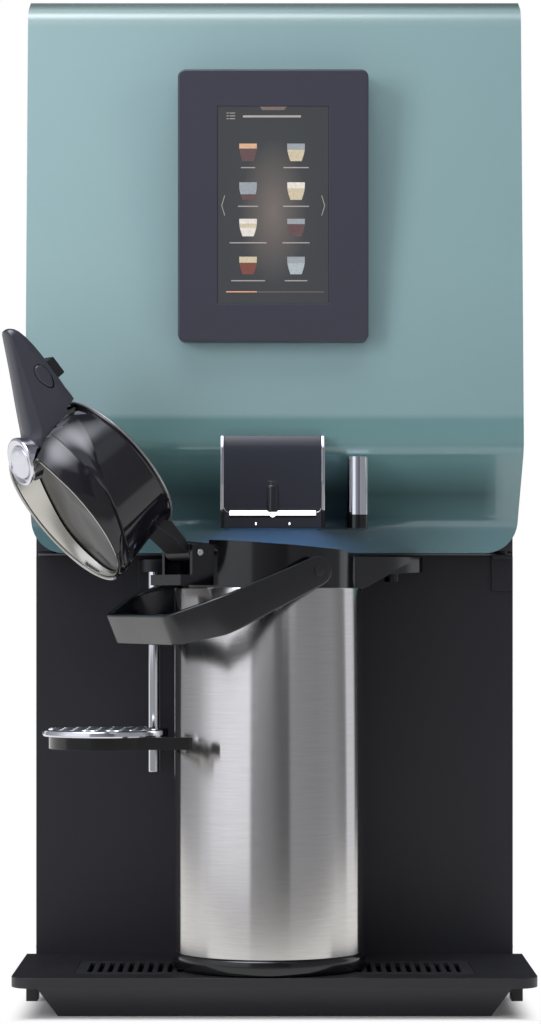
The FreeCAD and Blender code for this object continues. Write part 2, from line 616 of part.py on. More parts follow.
def make_services():
    """Boiler, heater, power supply, control board, fan, water inlet and power inlet."""
    y1 = CABINET_BACK - SHEET
    pan_top = FOOT_HEIGHT + SHEET
    tank = rod(V(TANK_X, TANK_Y, TANK_BOTTOM), V(TANK_X, TANK_Y, TANK_TOP), TANK_RADIUS)
    tank = tank.cut(rod(V(TANK_X, TANK_Y, TANK_BOTTOM + TANK_WALL), V(TANK_X, TANK_Y, TANK_TOP - TANK_WALL),
                        TANK_RADIUS - TANK_WALL))
    tank = tank.cut(rod(V(TANK_X, TANK_Y, TANK_TOP - TANK_WALL - 1), V(TANK_X, TANK_Y, TANK_TOP + 1),
                        HEATER_NECK))
    for angle in (90, 210, 330):
        x = TANK_X + TANK_LEG_CIRCLE * math.cos(math.radians(angle))
        y = TANK_Y + TANK_LEG_CIRCLE * math.sin(math.radians(angle))
        tank = tank.fuse(rod(V(x, y, pan_top), V(x, y, TANK_BOTTOM + 1), TANK_LEG_RADIUS))
    heater = rod(V(TANK_X, TANK_Y, TANK_TOP), V(TANK_X, TANK_Y, TANK_TOP + 8), HEATER_RADIUS)
    heater = heater.fuse(rod(V(TANK_X, TANK_Y, TANK_TOP + 8), V(TANK_X, TANK_Y, TANK_TOP + 26),
                             HEATER_NECK - 4))
    coil_z = TANK_BOTTOM + HEATER_LIFT
    spread = HEATER_HALF_SPREAD
    for x in (TANK_X - spread, TANK_X + spread):
        heater = heater.fuse(rod(V(x, TANK_Y, coil_z), V(x, TANK_Y, TANK_TOP), 4))
    heater = heater.fuse(box(TANK_X - spread, TANK_X + spread, TANK_Y - 3, TANK_Y + 3, coil_z, coil_z + 6))
    save("boiler", tank, heater)

    x0 = -INNER + SUPPLY_INSET
    x1 = x0 + SUPPLY_WIDTH
    supply_top = pan_top + SUPPLY_HEIGHT
    supply = box(x0, x1, SUPPLY_FRONT, SUPPLY_FRONT + SUPPLY_DEPTH, pan_top, supply_top)
    terminals_y = SUPPLY_FRONT + TERMINALS_INSET
    supply = supply.fuse(box(x0 + TERMINALS_INSET, x1 - TERMINALS_INSET, terminals_y,
                             terminals_y + TERMINALS_DEPTH, supply_top, supply_top + TERMINALS_HEIGHT))
    save("power_supply", supply.removeSplitter())

    x0 = -INNER + BOARD_INSET
    x1 = x0 + BOARD_WIDTH
    z0 = BOARD_BOTTOM
    z1 = BOARD_BOTTOM + BOARD_HEIGHT
    board_back = y1 - BOARD_STANDOFF
    board_front = board_back - BOARD_THICKNESS
    board = box(x0, x1, board_front, board_back, z0, z1)
    for x in (x0 + BOARD_POST_INSET, x1 - BOARD_POST_INSET):
        for z in (z0 + BOARD_POST_INSET, z1 - BOARD_POST_INSET):
            board = board.fuse(rod(V(x, board_back, z), V(x, y1, z), 3))
    # Each chip's place on the board, then its width, height and thickness
    for x, z, width, height, thickness in ((30, 20, 40, 40, 10), (100, 70, 30, 30, 6), (130, 10, 30, 30, 16)):
        board = board.fuse(box(x0 + x, x0 + x + width, board_front - thickness, board_front, z0 + z,
                               z0 + z + height))
    save("control_board", board)

    fan_back = y1
    frame_half = FAN_RADIUS + FAN_RIM
    housing = box(FAN_X - frame_half, FAN_X + frame_half, fan_back - FAN_DEPTH, fan_back, FAN_Z - frame_half,
                  FAN_Z + frame_half)
    housing = housing.cut(rod(V(FAN_X, fan_back - FAN_DEPTH - 1, FAN_Z), V(FAN_X, fan_back + 1, FAN_Z),
                              FAN_RADIUS))
    hub = rod(V(FAN_X, fan_back - 6, FAN_Z), V(FAN_X, fan_back, FAN_Z), FAN_HUB)
    for angle in (0, 90, 180, 270):
        strut = box(FAN_X - 2, FAN_X + 2, fan_back - 4, fan_back - 1, FAN_Z + 10, FAN_Z + FAN_RADIUS + 1)
        strut.rotate(V(FAN_X, fan_back, FAN_Z), V(0, 1, 0), angle + 45)
        hub = hub.fuse(strut)
    hub = hub.fuse(rod(V(FAN_X, fan_back - 14, FAN_Z), V(FAN_X, fan_back - 5, FAN_Z), 3))
    save("fan_housing", housing.fuse(hub))
    rotor = rod(V(FAN_X, fan_back - FAN_DEPTH + 2, FAN_Z), V(FAN_X, fan_back - 7, FAN_Z), FAN_HUB - 1)
    for number in range(FAN_BLADE_COUNT):
        blade = box(FAN_X - 7, FAN_X + 7, fan_back - 16, fan_back - 13.5, FAN_Z + 11, FAN_Z + FAN_RADIUS - 2)
        blade.rotate(V(FAN_X, fan_back - 14.7, FAN_Z), V(0, 0, 1), 32)
        blade.rotate(V(FAN_X, fan_back, FAN_Z), V(0, 1, 0), number * 360 / FAN_BLADE_COUNT)
        rotor = rotor.fuse(blade)
    rotor = rotor.cut(rod(V(FAN_X, fan_back - 14.5, FAN_Z), V(FAN_X, fan_back - 6, FAN_Z), 3 + RUNNING_CLEARANCE))
    save("fan_rotor", rotor)

    half_w = POWER_HALF_WIDTH
    half_h = POWER_HALF_HEIGHT
    socket = box(POWER_X - half_w - 3.5, POWER_X + half_w + 3.5, y1 - 3, y1, INLET_Z - half_h - 4, INLET_Z + half_h + 4)
    socket = socket.fuse(box(POWER_X - half_w, POWER_X + half_w, y1 - POWER_DEPTH, CABINET_BACK, INLET_Z - half_h,
                             INLET_Z + half_h))
    half_w = half_w - POWER_WALL
    half_h = half_h - POWER_WALL - 0.5
    socket = socket.cut(box(POWER_X - half_w, POWER_X + half_w, y1 - POWER_DEPTH + 6, CABINET_BACK + 1,
                            INLET_Z - half_h, INLET_Z + half_h))
    for offset, z in ((-7, -2), (0, 2), (7, -2)):
        socket = socket.fuse(box(POWER_X + offset - 1, POWER_X + offset + 1, y1 - POWER_DEPTH + 4, y1 - 4,
                                 INLET_Z + z - 2, INLET_Z + z + 2))
    save("power_inlet", socket)


def make_door():
    """Casing, translucent panel, hinge brackets and lock."""
    rear = ahead(DOOR_GAP)
    casing_top = CABINET_TOP - 1
    casing_bottom = PANEL_BOTTOM + 2
    skin = PANEL_THICKNESS + CASING_GAP
    casing = profile_block(skin, CASING_HALF_WIDTH, rear)
    casing = casing.common(box(-FAR, FAR, -FAR, rear, casing_bottom, casing_top))
    hollow = profile_block(skin + CASING_WALL, CASING_HALF_WIDTH - CASING_WALL, rear + 5)
    hollow = hollow.common(box(-FAR, FAR, -FAR, rear + 5, casing_bottom + CASING_WALL, casing_top - CASING_WALL))
    casing = casing.cut(hollow)
    hinge_y = ahead(HINGE_AHEAD)
    boss = HINGE_BOSS_HALF
    bore = HINGE_PIN_RADIUS + RUNNING_CLEARANCE
    for z0, z1 in ((casing_bottom, casing_bottom + HINGE_BOSS_HEIGHT), (casing_top - HINGE_BOSS_HEIGHT, casing_top)):
        casing = casing.fuse(box(HINGE_X - boss, CASING_HALF_WIDTH - 1, hinge_y - boss, hinge_y + boss, z0, z1))
    casing = casing.cut(rod(V(HINGE_X, hinge_y, casing_bottom - 1), V(HINGE_X, hinge_y, casing_bottom + PIN_ENGAGEMENT + 2), bore))
    casing = casing.cut(rod(V(HINGE_X, hinge_y, casing_top - PIN_ENGAGEMENT - 2), V(HINGE_X, hinge_y, casing_top + 1), bore))
    right = CASING_HALF_WIDTH
    relief = 5.0
    casing = casing.cut(prism([V(right + 1, rear + 1, 0), V(right - relief, rear + 1, 0),
                               V(right - relief, rear, 0), V(right, rear - relief, 0),
                               V(right + 1, rear - relief, 0)], V(0, 0, FAR)))
    casing = casing.cut(rod(V(-FAR, LOCK_Y, LOCK_Z), V(-CASING_HALF_WIDTH + 10, LOCK_Y, LOCK_Z),
                            LOCK_RADIUS + RUNNING_CLEARANCE))
    casing = casing.cut(manifold_feed(0)).cut(tap_feed(0.5))
    save("door_casing", casing.removeSplitter())

    panel = profile_block(0, PANEL_WIDTH / 2, 0).cut(profile_block(PANEL_THICKNESS, PANEL_WIDTH, 10))
    outline = rounded_plate(-PANEL_WIDTH / 2, PANEL_WIDTH / 2, PANEL_BOTTOM, PANEL_TOP + 60, -FAR, 0, PANEL_CORNER)
    panel = panel.common(outline).common(box(-FAR, FAR, -FAR, ahead(PANEL_LIP_DEPTH - PANEL_THICKNESS), 0, FAR))
    panel = panel.cut(manifold_feed(0.5)).cut(tap_feed(0.5))
    save("door_panel", panel.Solids[0])

    plate = HINGE_PLATE
    bottom = box(HINGE_X - 8, HINGE_X + 8, CABINET_FRONT, hinge_y - 8, PANEL_BOTTOM - 4, PANEL_BOTTOM - 1)
    bottom = bottom.fuse(box(HINGE_X - 8, HINGE_X + 8, CABINET_FRONT - plate, CABINET_FRONT,
                             PANEL_BOTTOM - 30, PANEL_BOTTOM - 1))
    bottom = bottom.fuse(rod(V(HINGE_X, hinge_y, PANEL_BOTTOM - 2), V(HINGE_X, hinge_y, casing_bottom + PIN_ENGAGEMENT),
                             HINGE_PIN_RADIUS))
    top = box(HINGE_X - 20, HINGE_X + 8, hinge_y - 8, CABINET_FRONT + 40, CABINET_TOP, CABINET_TOP + plate)
    top = top.fuse(rod(V(HINGE_X, hinge_y, casing_top - PIN_ENGAGEMENT), V(HINGE_X, hinge_y, CABINET_TOP + plate),
                       HINGE_PIN_RADIUS))
    save("front_brackets", bottom.removeSplitter(), top.removeSplitter(), make_rod_bracket())
    make_lock()


def make_lock():
    """Lock barrel in the casing's left wall, with its hooked cam standing up, unlocked."""
    wall_x = -CASING_HALF_WIDTH
    barrel = rod(V(wall_x - 2, LOCK_Y, LOCK_Z), V(wall_x + 6, LOCK_Y, LOCK_Z), LOCK_RADIUS)
    barrel = barrel.cut(box(wall_x - 3, wall_x + 2, LOCK_Y - 1, LOCK_Y + 1, LOCK_Z - 5, LOCK_Z + 5))
    start = V(wall_x + 6, LOCK_Y, LOCK_Z)
    end = start + V(4, 0, 0)
    before = start - V(1, 0, 0)
    after = end + V(1, 0, 0)
    cam = rod(start, end, LOCK_REACH + 9).cut(rod(before, after, LOCK_REACH - 4))
    cam = cam.common(sector(start, 80, 130))
    slot = rod(before, after, LOCK_REACH + 3.5).cut(rod(before, after, LOCK_REACH - 5))
    cam = cam.cut(slot.common(sector(start, 70, 104)))
    arm = rod(start, end, LOCK_REACH).common(sector(start, 104, 130))
    hub = rod(start, end, LOCK_RADIUS)
    save("door_lock", barrel.fuse(hub).fuse(arm).fuse(cam).removeSplitter())


def sector(apex, start, end):
    """Wedge about an axis along X, between two angles above the backward direction."""
    reach = 80.0
    low = apex - V(1, 0, 0)
    points = [low]
    for angle in (start, (start + end) / 2, end):
        turn = math.radians(angle)
        points.append(low + V(0, reach * math.cos(turn), reach * math.sin(turn)))
    return prism(points, V(6, 0, 0))


def manifold_feed(gap):
    """Block that carries the drinks through the panel, grown by a gap."""
    half = NOZZLE_SPREAD + 12 + gap
    return box(OUTLET_CENTRE_X - half, OUTLET_CENTRE_X + half, ahead(6), ahead(NOZZLE_DEPTH + 8),
               MANIFOLD_BOTTOM - gap, MANIFOLD_TOP + gap)


def tap_feed(gap):
    """Round spigot that carries the hot water through the panel, grown by a gap."""
    z = (MANIFOLD_BOTTOM + MANIFOLD_TOP) / 2 + 2
    return rod(V(TAP_CENTRE_X, ahead(20), z), V(TAP_CENTRE_X, ahead(80), z), 4 + gap)


def make_door_fittings():
    """Touch screen module, drink outlet, LED line, nozzles and hot water tap."""
    front = profile_block(0, 300, 0)
    x0 = MODULE_CENTRE_X - HOUSING_WIDTH / 2
    x1 = MODULE_CENTRE_X + HOUSING_WIDTH / 2
    z1 = HOUSING_BOTTOM + HOUSING_HEIGHT
    face_y = ahead(HOUSING_FACE_DEPTH)
    housing = rounded_plate(x0, x1, HOUSING_BOTTOM, z1, face_y, ahead(50), HOUSING_CORNER)
    rim = [e for e in housing.Edges if abs(e.BoundBox.YMax - face_y) < 0.01]
    housing = housing.makeChamfer(1.0, rim).cut(front)
    half_w = SCREEN_WIDTH / 2
    half_h = SCREEN_HEIGHT / 2
    window = box(MODULE_CENTRE_X - half_w, MODULE_CENTRE_X + half_w, face_y - 1, face_y + 5,
                 SCREEN_CENTRE_Z - half_h, SCREEN_CENTRE_Z + half_h)
    pocket = box(MODULE_CENTRE_X - half_w - 3, MODULE_CENTRE_X + half_w + 3, face_y + 1.6, face_y + 13,
                 SCREEN_CENTRE_Z - half_h - 3, SCREEN_CENTRE_Z + half_h + 3)
    glass = box(MODULE_CENTRE_X - half_w + 0.2, MODULE_CENTRE_X + half_w - 0.2, face_y + 0.4, face_y + 1.6,
                SCREEN_CENTRE_Z - half_h + 0.2, SCREEN_CENTRE_Z + half_h - 0.2)
    save("screen_glass", glass)
    unit = box(MODULE_CENTRE_X - half_w - 2, MODULE_CENTRE_X + half_w + 2, face_y + 1.6, face_y + 13,
               SCREEN_CENTRE_Z - half_h - 2, SCREEN_CENTRE_Z + half_h + 2)
    save("screen_housing", housing.cut(window).cut(pocket))
    save("display_unit", unit)

    half = OUTLET_WIDTH / 2
    cx = OUTLET_CENTRE_X
    top = OUTLET_BOTTOM + OUTLET_HEIGHT
    outlet_y = ahead(OUTLET_FACE_DEPTH)
    side_profile = [V(0, outlet_y, OUTLET_BOTTOM), V(0, outlet_y, top - 9), V(0, outlet_y + 5, top),
                    V(0, ahead(20), top), V(0, ahead(20), OUTLET_BOTTOM)]
    inner_half = half - OUTLET_FRAME
    block = prism([p + V(cx - inner_half, 0, 0) for p in side_profile], V(2 * inner_half, 0, 0)).cut(front)
    cavity = box(cx - inner_half + OUTLET_WALL, cx + inner_half - OUTLET_WALL, outlet_y + OUTLET_WALL, ahead(20),
                 OUTLET_BOTTOM - 1, top - 9)
    block = block.cut(cavity)
    led_bottom = OUTLET_BOTTOM + 8.6
    led_top = led_bottom + 3.6
    led_half = inner_half - 4
    block = block.cut(box(cx - led_half, cx + led_half, outlet_y - 1, outlet_y + 1.5, led_bottom, led_top))
    ridge = rod(V(cx, outlet_y + 3.2, led_top), V(cx, outlet_y + 3.2, led_top + 24), 5)
    block = block.fuse(ridge.cut(box(cx - 9, cx + 9, outlet_y + 2, outlet_y + 20, led_top - 1, led_top + 30)))
    save("outlet_cover", block.removeSplitter())
    frames = []
    for side in (-1, 1):
        near = cx + side * inner_half
        frame = prism([p + V(near, 0, 0) for p in side_profile], V(side * OUTLET_FRAME, 0, 0))
        frames.append(frame.cut(front))
    save("outlet_frames", *frames)
    save("outlet_light", box(cx - led_half, cx + led_half, outlet_y, outlet_y + 1.5, led_bottom, led_top))

    feed = manifold_feed(0)
    basin_half = NOZZLE_SPREAD + 9
    feed = feed.cut(box(cx - basin_half, cx + basin_half, ahead(9), ahead(31), MANIFOLD_BOTTOM + 3, MANIFOLD_TOP + 1))
    for side in (-1, 1):
        x = cx + side * NOZZLE_SPREAD
        run = rod(V(x, ahead(28), MANIFOLD_BOTTOM + 6.5), V(x, ahead(NOZZLE_DEPTH), MANIFOLD_BOTTOM + 6.5), 3)
        nozzle = rod(V(x, ahead(NOZZLE_DEPTH), OUTLET_BOTTOM + 1), V(x, ahead(NOZZLE_DEPTH), MANIFOLD_BOTTOM + 1),
                     NOZZLE_RADIUS)
        drop = rod(V(x, ahead(NOZZLE_DEPTH), OUTLET_BOTTOM), V(x, ahead(NOZZLE_DEPTH), MANIFOLD_BOTTOM + 6.5), 3)
        feed = feed.fuse(nozzle).cut(run).cut(drop)
    manifold = feed.removeSplitter()

    radius = TAP_WIDTH / 2
    tap_y = ahead(TAP_FACE_DEPTH) + radius
    column = rod(V(TAP_CENTRE_X, tap_y, OUTLET_BOTTOM), V(TAP_CENTRE_X, tap_y, TAP_TOP), radius)
    column = column.fuse(box(TAP_CENTRE_X - radius, TAP_CENTRE_X + radius, tap_y, ahead(20), OUTLET_BOTTOM, TAP_TOP))
    column = column.cut(front)
    bore = rod(V(TAP_CENTRE_X, ahead(84), OUTLET_BOTTOM - 1), V(TAP_CENTRE_X, ahead(84), TAP_FOOT_TOP + 6), 3.5)
    column = column.cut(bore).cut(tap_feed(RUNNING_CLEARANCE))
    save("hot_water_tap", column.common(box(-FAR, FAR, -FAR, FAR, TAP_FOOT_TOP, TAP_TOP)))
    save("tap_foot", column.common(box(-FAR, FAR, -FAR, FAR, 0, TAP_FOOT_TOP)))
    cup = box(TAP_CENTRE_X - 9, TAP_CENTRE_X + 9, ahead(8), ahead(23.4), MANIFOLD_BOTTOM, MANIFOLD_TOP)
    cup = cup.cut(box(TAP_CENTRE_X - 7, TAP_CENTRE_X + 7, ahead(10), ahead(22), MANIFOLD_BOTTOM + 2, MANIFOLD_TOP + 1))
    cup = cup.fuse(tap_feed(0).common(box(-FAR, FAR, ahead(22), ahead(80), 0, FAR)))
    z = (MANIFOLD_BOTTOM + MANIFOLD_TOP) / 2 + 2
    cup = cup.cut(rod(V(TAP_CENTRE_X, ahead(20), z), V(TAP_CENTRE_X, ahead(81), z), 2.5))
    save("outlet_manifold", manifold, cup)


def make_drip_tray():
    """Flange with a sloped bowl, side legs, grill and float."""
    half = TRAY_HALF
    back = CABINET_FRONT - 0.5
    flange_bottom = TRAY_TOP - TRAY_FLANGE
    flange = box(-half, half, ahead(TRAY_DEPTH), back, flange_bottom, TRAY_TOP)
    corners = [e for e in flange.Edges
               if abs(e.tangentAt(e.FirstParameter).z) > 0.9 and e.BoundBox.YMin < ahead(TRAY_DEPTH - 1)]
    flange = flange.makeFillet(TRAY_CORNER, corners)
    bowl = tray_frustum(0, flange_bottom, 0)
    hollow = tray_frustum(TRAY_WALL, flange_bottom, TRAY_WALL)
    ledge = GRILL_LEDGE
    gap = GRILL_GAP
    opening = box(-GRILL_HALF + ledge, GRILL_HALF - ledge, ahead(GRILL_NEAR - ledge), ahead(GRILL_FAR + ledge),
                  flange_bottom - 1, TRAY_TOP + 1)
    seat = box(-GRILL_HALF - gap, GRILL_HALF + gap, ahead(GRILL_NEAR + gap), ahead(GRILL_FAR - gap),
               TRAY_TOP - GRILL_THICKNESS, TRAY_TOP + 1)
    tray = flange.fuse(bowl).cut(hollow).cut(opening).cut(seat)
    for side in (-1, 1):
        tray = tray.fuse(box(side * (half - LEG_INSET - LEG_WIDTH), side * (half - LEG_INSET), ahead(LEG_FAR),
                             ahead(LEG_NEAR), 0, flange_bottom + 1))
    post_x = GRILL_HALF - FLOAT_POST_INSET
    post_y = ahead((GRILL_NEAR + GRILL_FAR) / 2)
    tray = tray.fuse(rod(V(post_x, post_y, 1), V(post_x, post_y, flange_bottom), FLOAT_POST_RADIUS))
    save("drip_tray", tray.removeSplitter())

    plate = box(-GRILL_HALF, GRILL_HALF, ahead(GRILL_NEAR), ahead(GRILL_FAR), TRAY_TOP - GRILL_THICKNESS, TRAY_TOP)
    pitch = 2 * (GRILL_HALF - GRILL_END_RIM) / GRILL_SLOT_COUNT
    slots = []
    for number in range(GRILL_SLOT_COUNT):
        x = -GRILL_HALF + GRILL_END_RIM + (number + 0.25) * pitch
        slots.append(box(x, x + pitch / 2, ahead(GRILL_NEAR - GRILL_SIDE_RIM), ahead(GRILL_FAR + GRILL_SIDE_RIM),
                         0, TRAY_TOP + 1))
    save("drip_grill", plate.cut(Part.makeCompound(slots)))

    puck = rod(V(post_x, post_y, TRAY_WALL), V(post_x, post_y, TRAY_WALL + FLOAT_HEIGHT), FLOAT_RADIUS)
    save("tray_float", puck.cut(rod(V(post_x, post_y, 0), V(post_x, post_y, TRAY_TOP), FLOAT_POST_RADIUS + 0.3)))


def tray_frustum(inset, top, bottom):
    """Sloped bowl between the ground and the flange, shrunk by an inset."""
    back = CABINET_FRONT - 1.0 - inset
    wires = []
    top_half = TRAY_HALF - TRAY_BOWL_INSET
    slope = TRAY_BOWL_SLOPE
    for half, depth, z in ((top_half - slope, TRAY_BOWL_DEPTH - slope, bottom), (top_half, TRAY_BOWL_DEPTH, top)):
        x = half - inset
        y = ahead(depth - inset)
        wires.append(Part.makePolygon([V(-x, y, z), V(x, y, z), V(x, back, z), V(-x, back, z), V(-x, y, z)]))
    return Part.makeLoft(wires, True, True)


def make_rod_bracket():
    """Bracket on the lower front panel that holds the top of the cup rod."""
    rod_y = ahead(ROD_AHEAD)
    bracket = box(ROD_X - 10, ROD_X + 10, rod_y, CABINET_FRONT, ROD_BRACKET_BOTTOM, ROD_BRACKET_TOP)
    bracket = bracket.fuse(rod(V(ROD_X, rod_y, ROD_BRACKET_BOTTOM), V(ROD_X, rod_y, ROD_BRACKET_TOP), 10))
    bracket = bracket.fuse(box(ROD_X - 14, ROD_X + 14, CABINET_FRONT - 3, CABINET_FRONT,
                               ROD_BRACKET_BOTTOM - 14, ROD_BRACKET_TOP))
    bracket = bracket.cut(rod(V(ROD_X, rod_y, 0), V(ROD_X, rod_y, ROD_BRACKET_TOP - 2), ROD_RADIUS))
    return bracket.removeSplitter()


def make_cup_holder():
    """Hanging rod with its bracket, and the swivelling tray with rim and grid."""
    rod_y = ahead(ROD_AHEAD)
    bar = rod(V(ROD_X, rod_y, ROD_BOTTOM), V(ROD_X, rod_y, ROD_BRACKET_TOP - 2), ROD_RADIUS)
    save("cup_rod", bar)
    cup_y = ahead(CUP_AHEAD)
    floor = CUP_TRAY_TOP - CUP_TRAY_HEIGHT
    arm_bottom = floor - 2
    hub = rod(V(ROD_X, rod_y, arm_bottom), V(ROD_X, rod_y, CUP_TRAY_TOP + 1), 11)
    run = V(CUP_X - ROD_X, cup_y - rod_y, 0)
    side = V(-run.y, run.x, 0).normalize() * 8
    base = V(ROD_X, rod_y, arm_bottom)
    tip = V(CUP_X, cup_y, arm_bottom)
    arm = prism([base + side, base - side, tip - side, tip + side], V(0, 0, 4))
    dish = rod(V(CUP_X, cup_y, floor), V(CUP_X, cup_y, CUP_TRAY_TOP), CUP_TRAY_RADIUS)
    tongue_end = TONGUE_TIP_X - TONGUE_HALF
    tongue = box(CUP_X + 20, tongue_end, ahead(TONGUE_AHEAD - TONGUE_HALF), ahead(TONGUE_AHEAD + TONGUE_HALF),
                 floor, CUP_TRAY_TOP)
    tongue = tongue.fuse(rod(V(tongue_end, ahead(TONGUE_AHEAD), floor),
                             V(tongue_end, ahead(TONGUE_AHEAD), CUP_TRAY_TOP), TONGUE_HALF))
    tray = hub.fuse(arm).fuse(dish).fuse(tongue)
    tray = tray.cut(rod(V(CUP_X, cup_y, floor + 2), V(CUP_X, cup_y, CUP_TRAY_TOP + 2), CUP_TRAY_RADIUS - 2))
    tray = tray.cut(rod(V(ROD_X, rod_y, 0), V(ROD_X, rod_y, CUP_TRAY_TOP + 20), ROD_RADIUS + RUNNING_CLEARANCE))
    save("cup_tray", tray.removeSplitter())

    rim = rod(V(CUP_X, cup_y, CUP_TRAY_TOP), V(CUP_X, cup_y, CUP_TRAY_TOP + 5), CUP_RIM_RADIUS)
    rim = rim.cut(rod(V(CUP_X, cup_y, 0), V(CUP_X, cup_y, 400), CUP_RIM_RADIUS - 6))
    outer = [e for e in rim.Edges if e.BoundBox.XLength > 2 * CUP_RIM_RADIUS - 1 and e.BoundBox.ZLength < 0.1]
    rim = rim.makeFillet(2.0, outer)
    disc = rod(V(CUP_X, cup_y, CUP_TRAY_TOP + 5), V(CUP_X, cup_y, CUP_TRAY_TOP + 7), CUP_RIM_RADIUS - 3.5)
    bars = []
    for number in range(-4, 5):
        bars.append(box(CUP_X + number * 8.5 - 1, CUP_X + number * 8.5 + 1, cup_y - 60, cup_y + 60,
                        CUP_TRAY_TOP, CUP_TRAY_TOP + 20))
    grid = disc.common(Part.makeCompound(bars))
    cross = box(CUP_X - 60, CUP_X + 60, cup_y - 1, cup_y + 1, CUP_TRAY_TOP, CUP_TRAY_TOP + 20).common(disc)
    save("cup_rim", rim, grid.fuse(cross).removeSplitter())


def place_flask(shape):
    """Move a shape from the flask's own frame, spout along +X, to where the flask stands."""
    moved = shape.copy()
    moved.rotate(V(0, 0, 0), V(0, 0, 1), FLASK_TURN)
    moved.translate(V(FLASK_X, ahead(FLASK_AHEAD), 0))
    return moved


def place_lid(shape):
    """Move a lid shape from its closed place about the hinge to where it stands open."""
    moved = shape.copy()
    moved.rotate(V(0, 0, 0), V(0, 1, 0), -LID_OPEN)
    moved.translate(V(-LID_HINGE_BACK, 0, LID_HINGE_Z))
    return place_flask(moved)


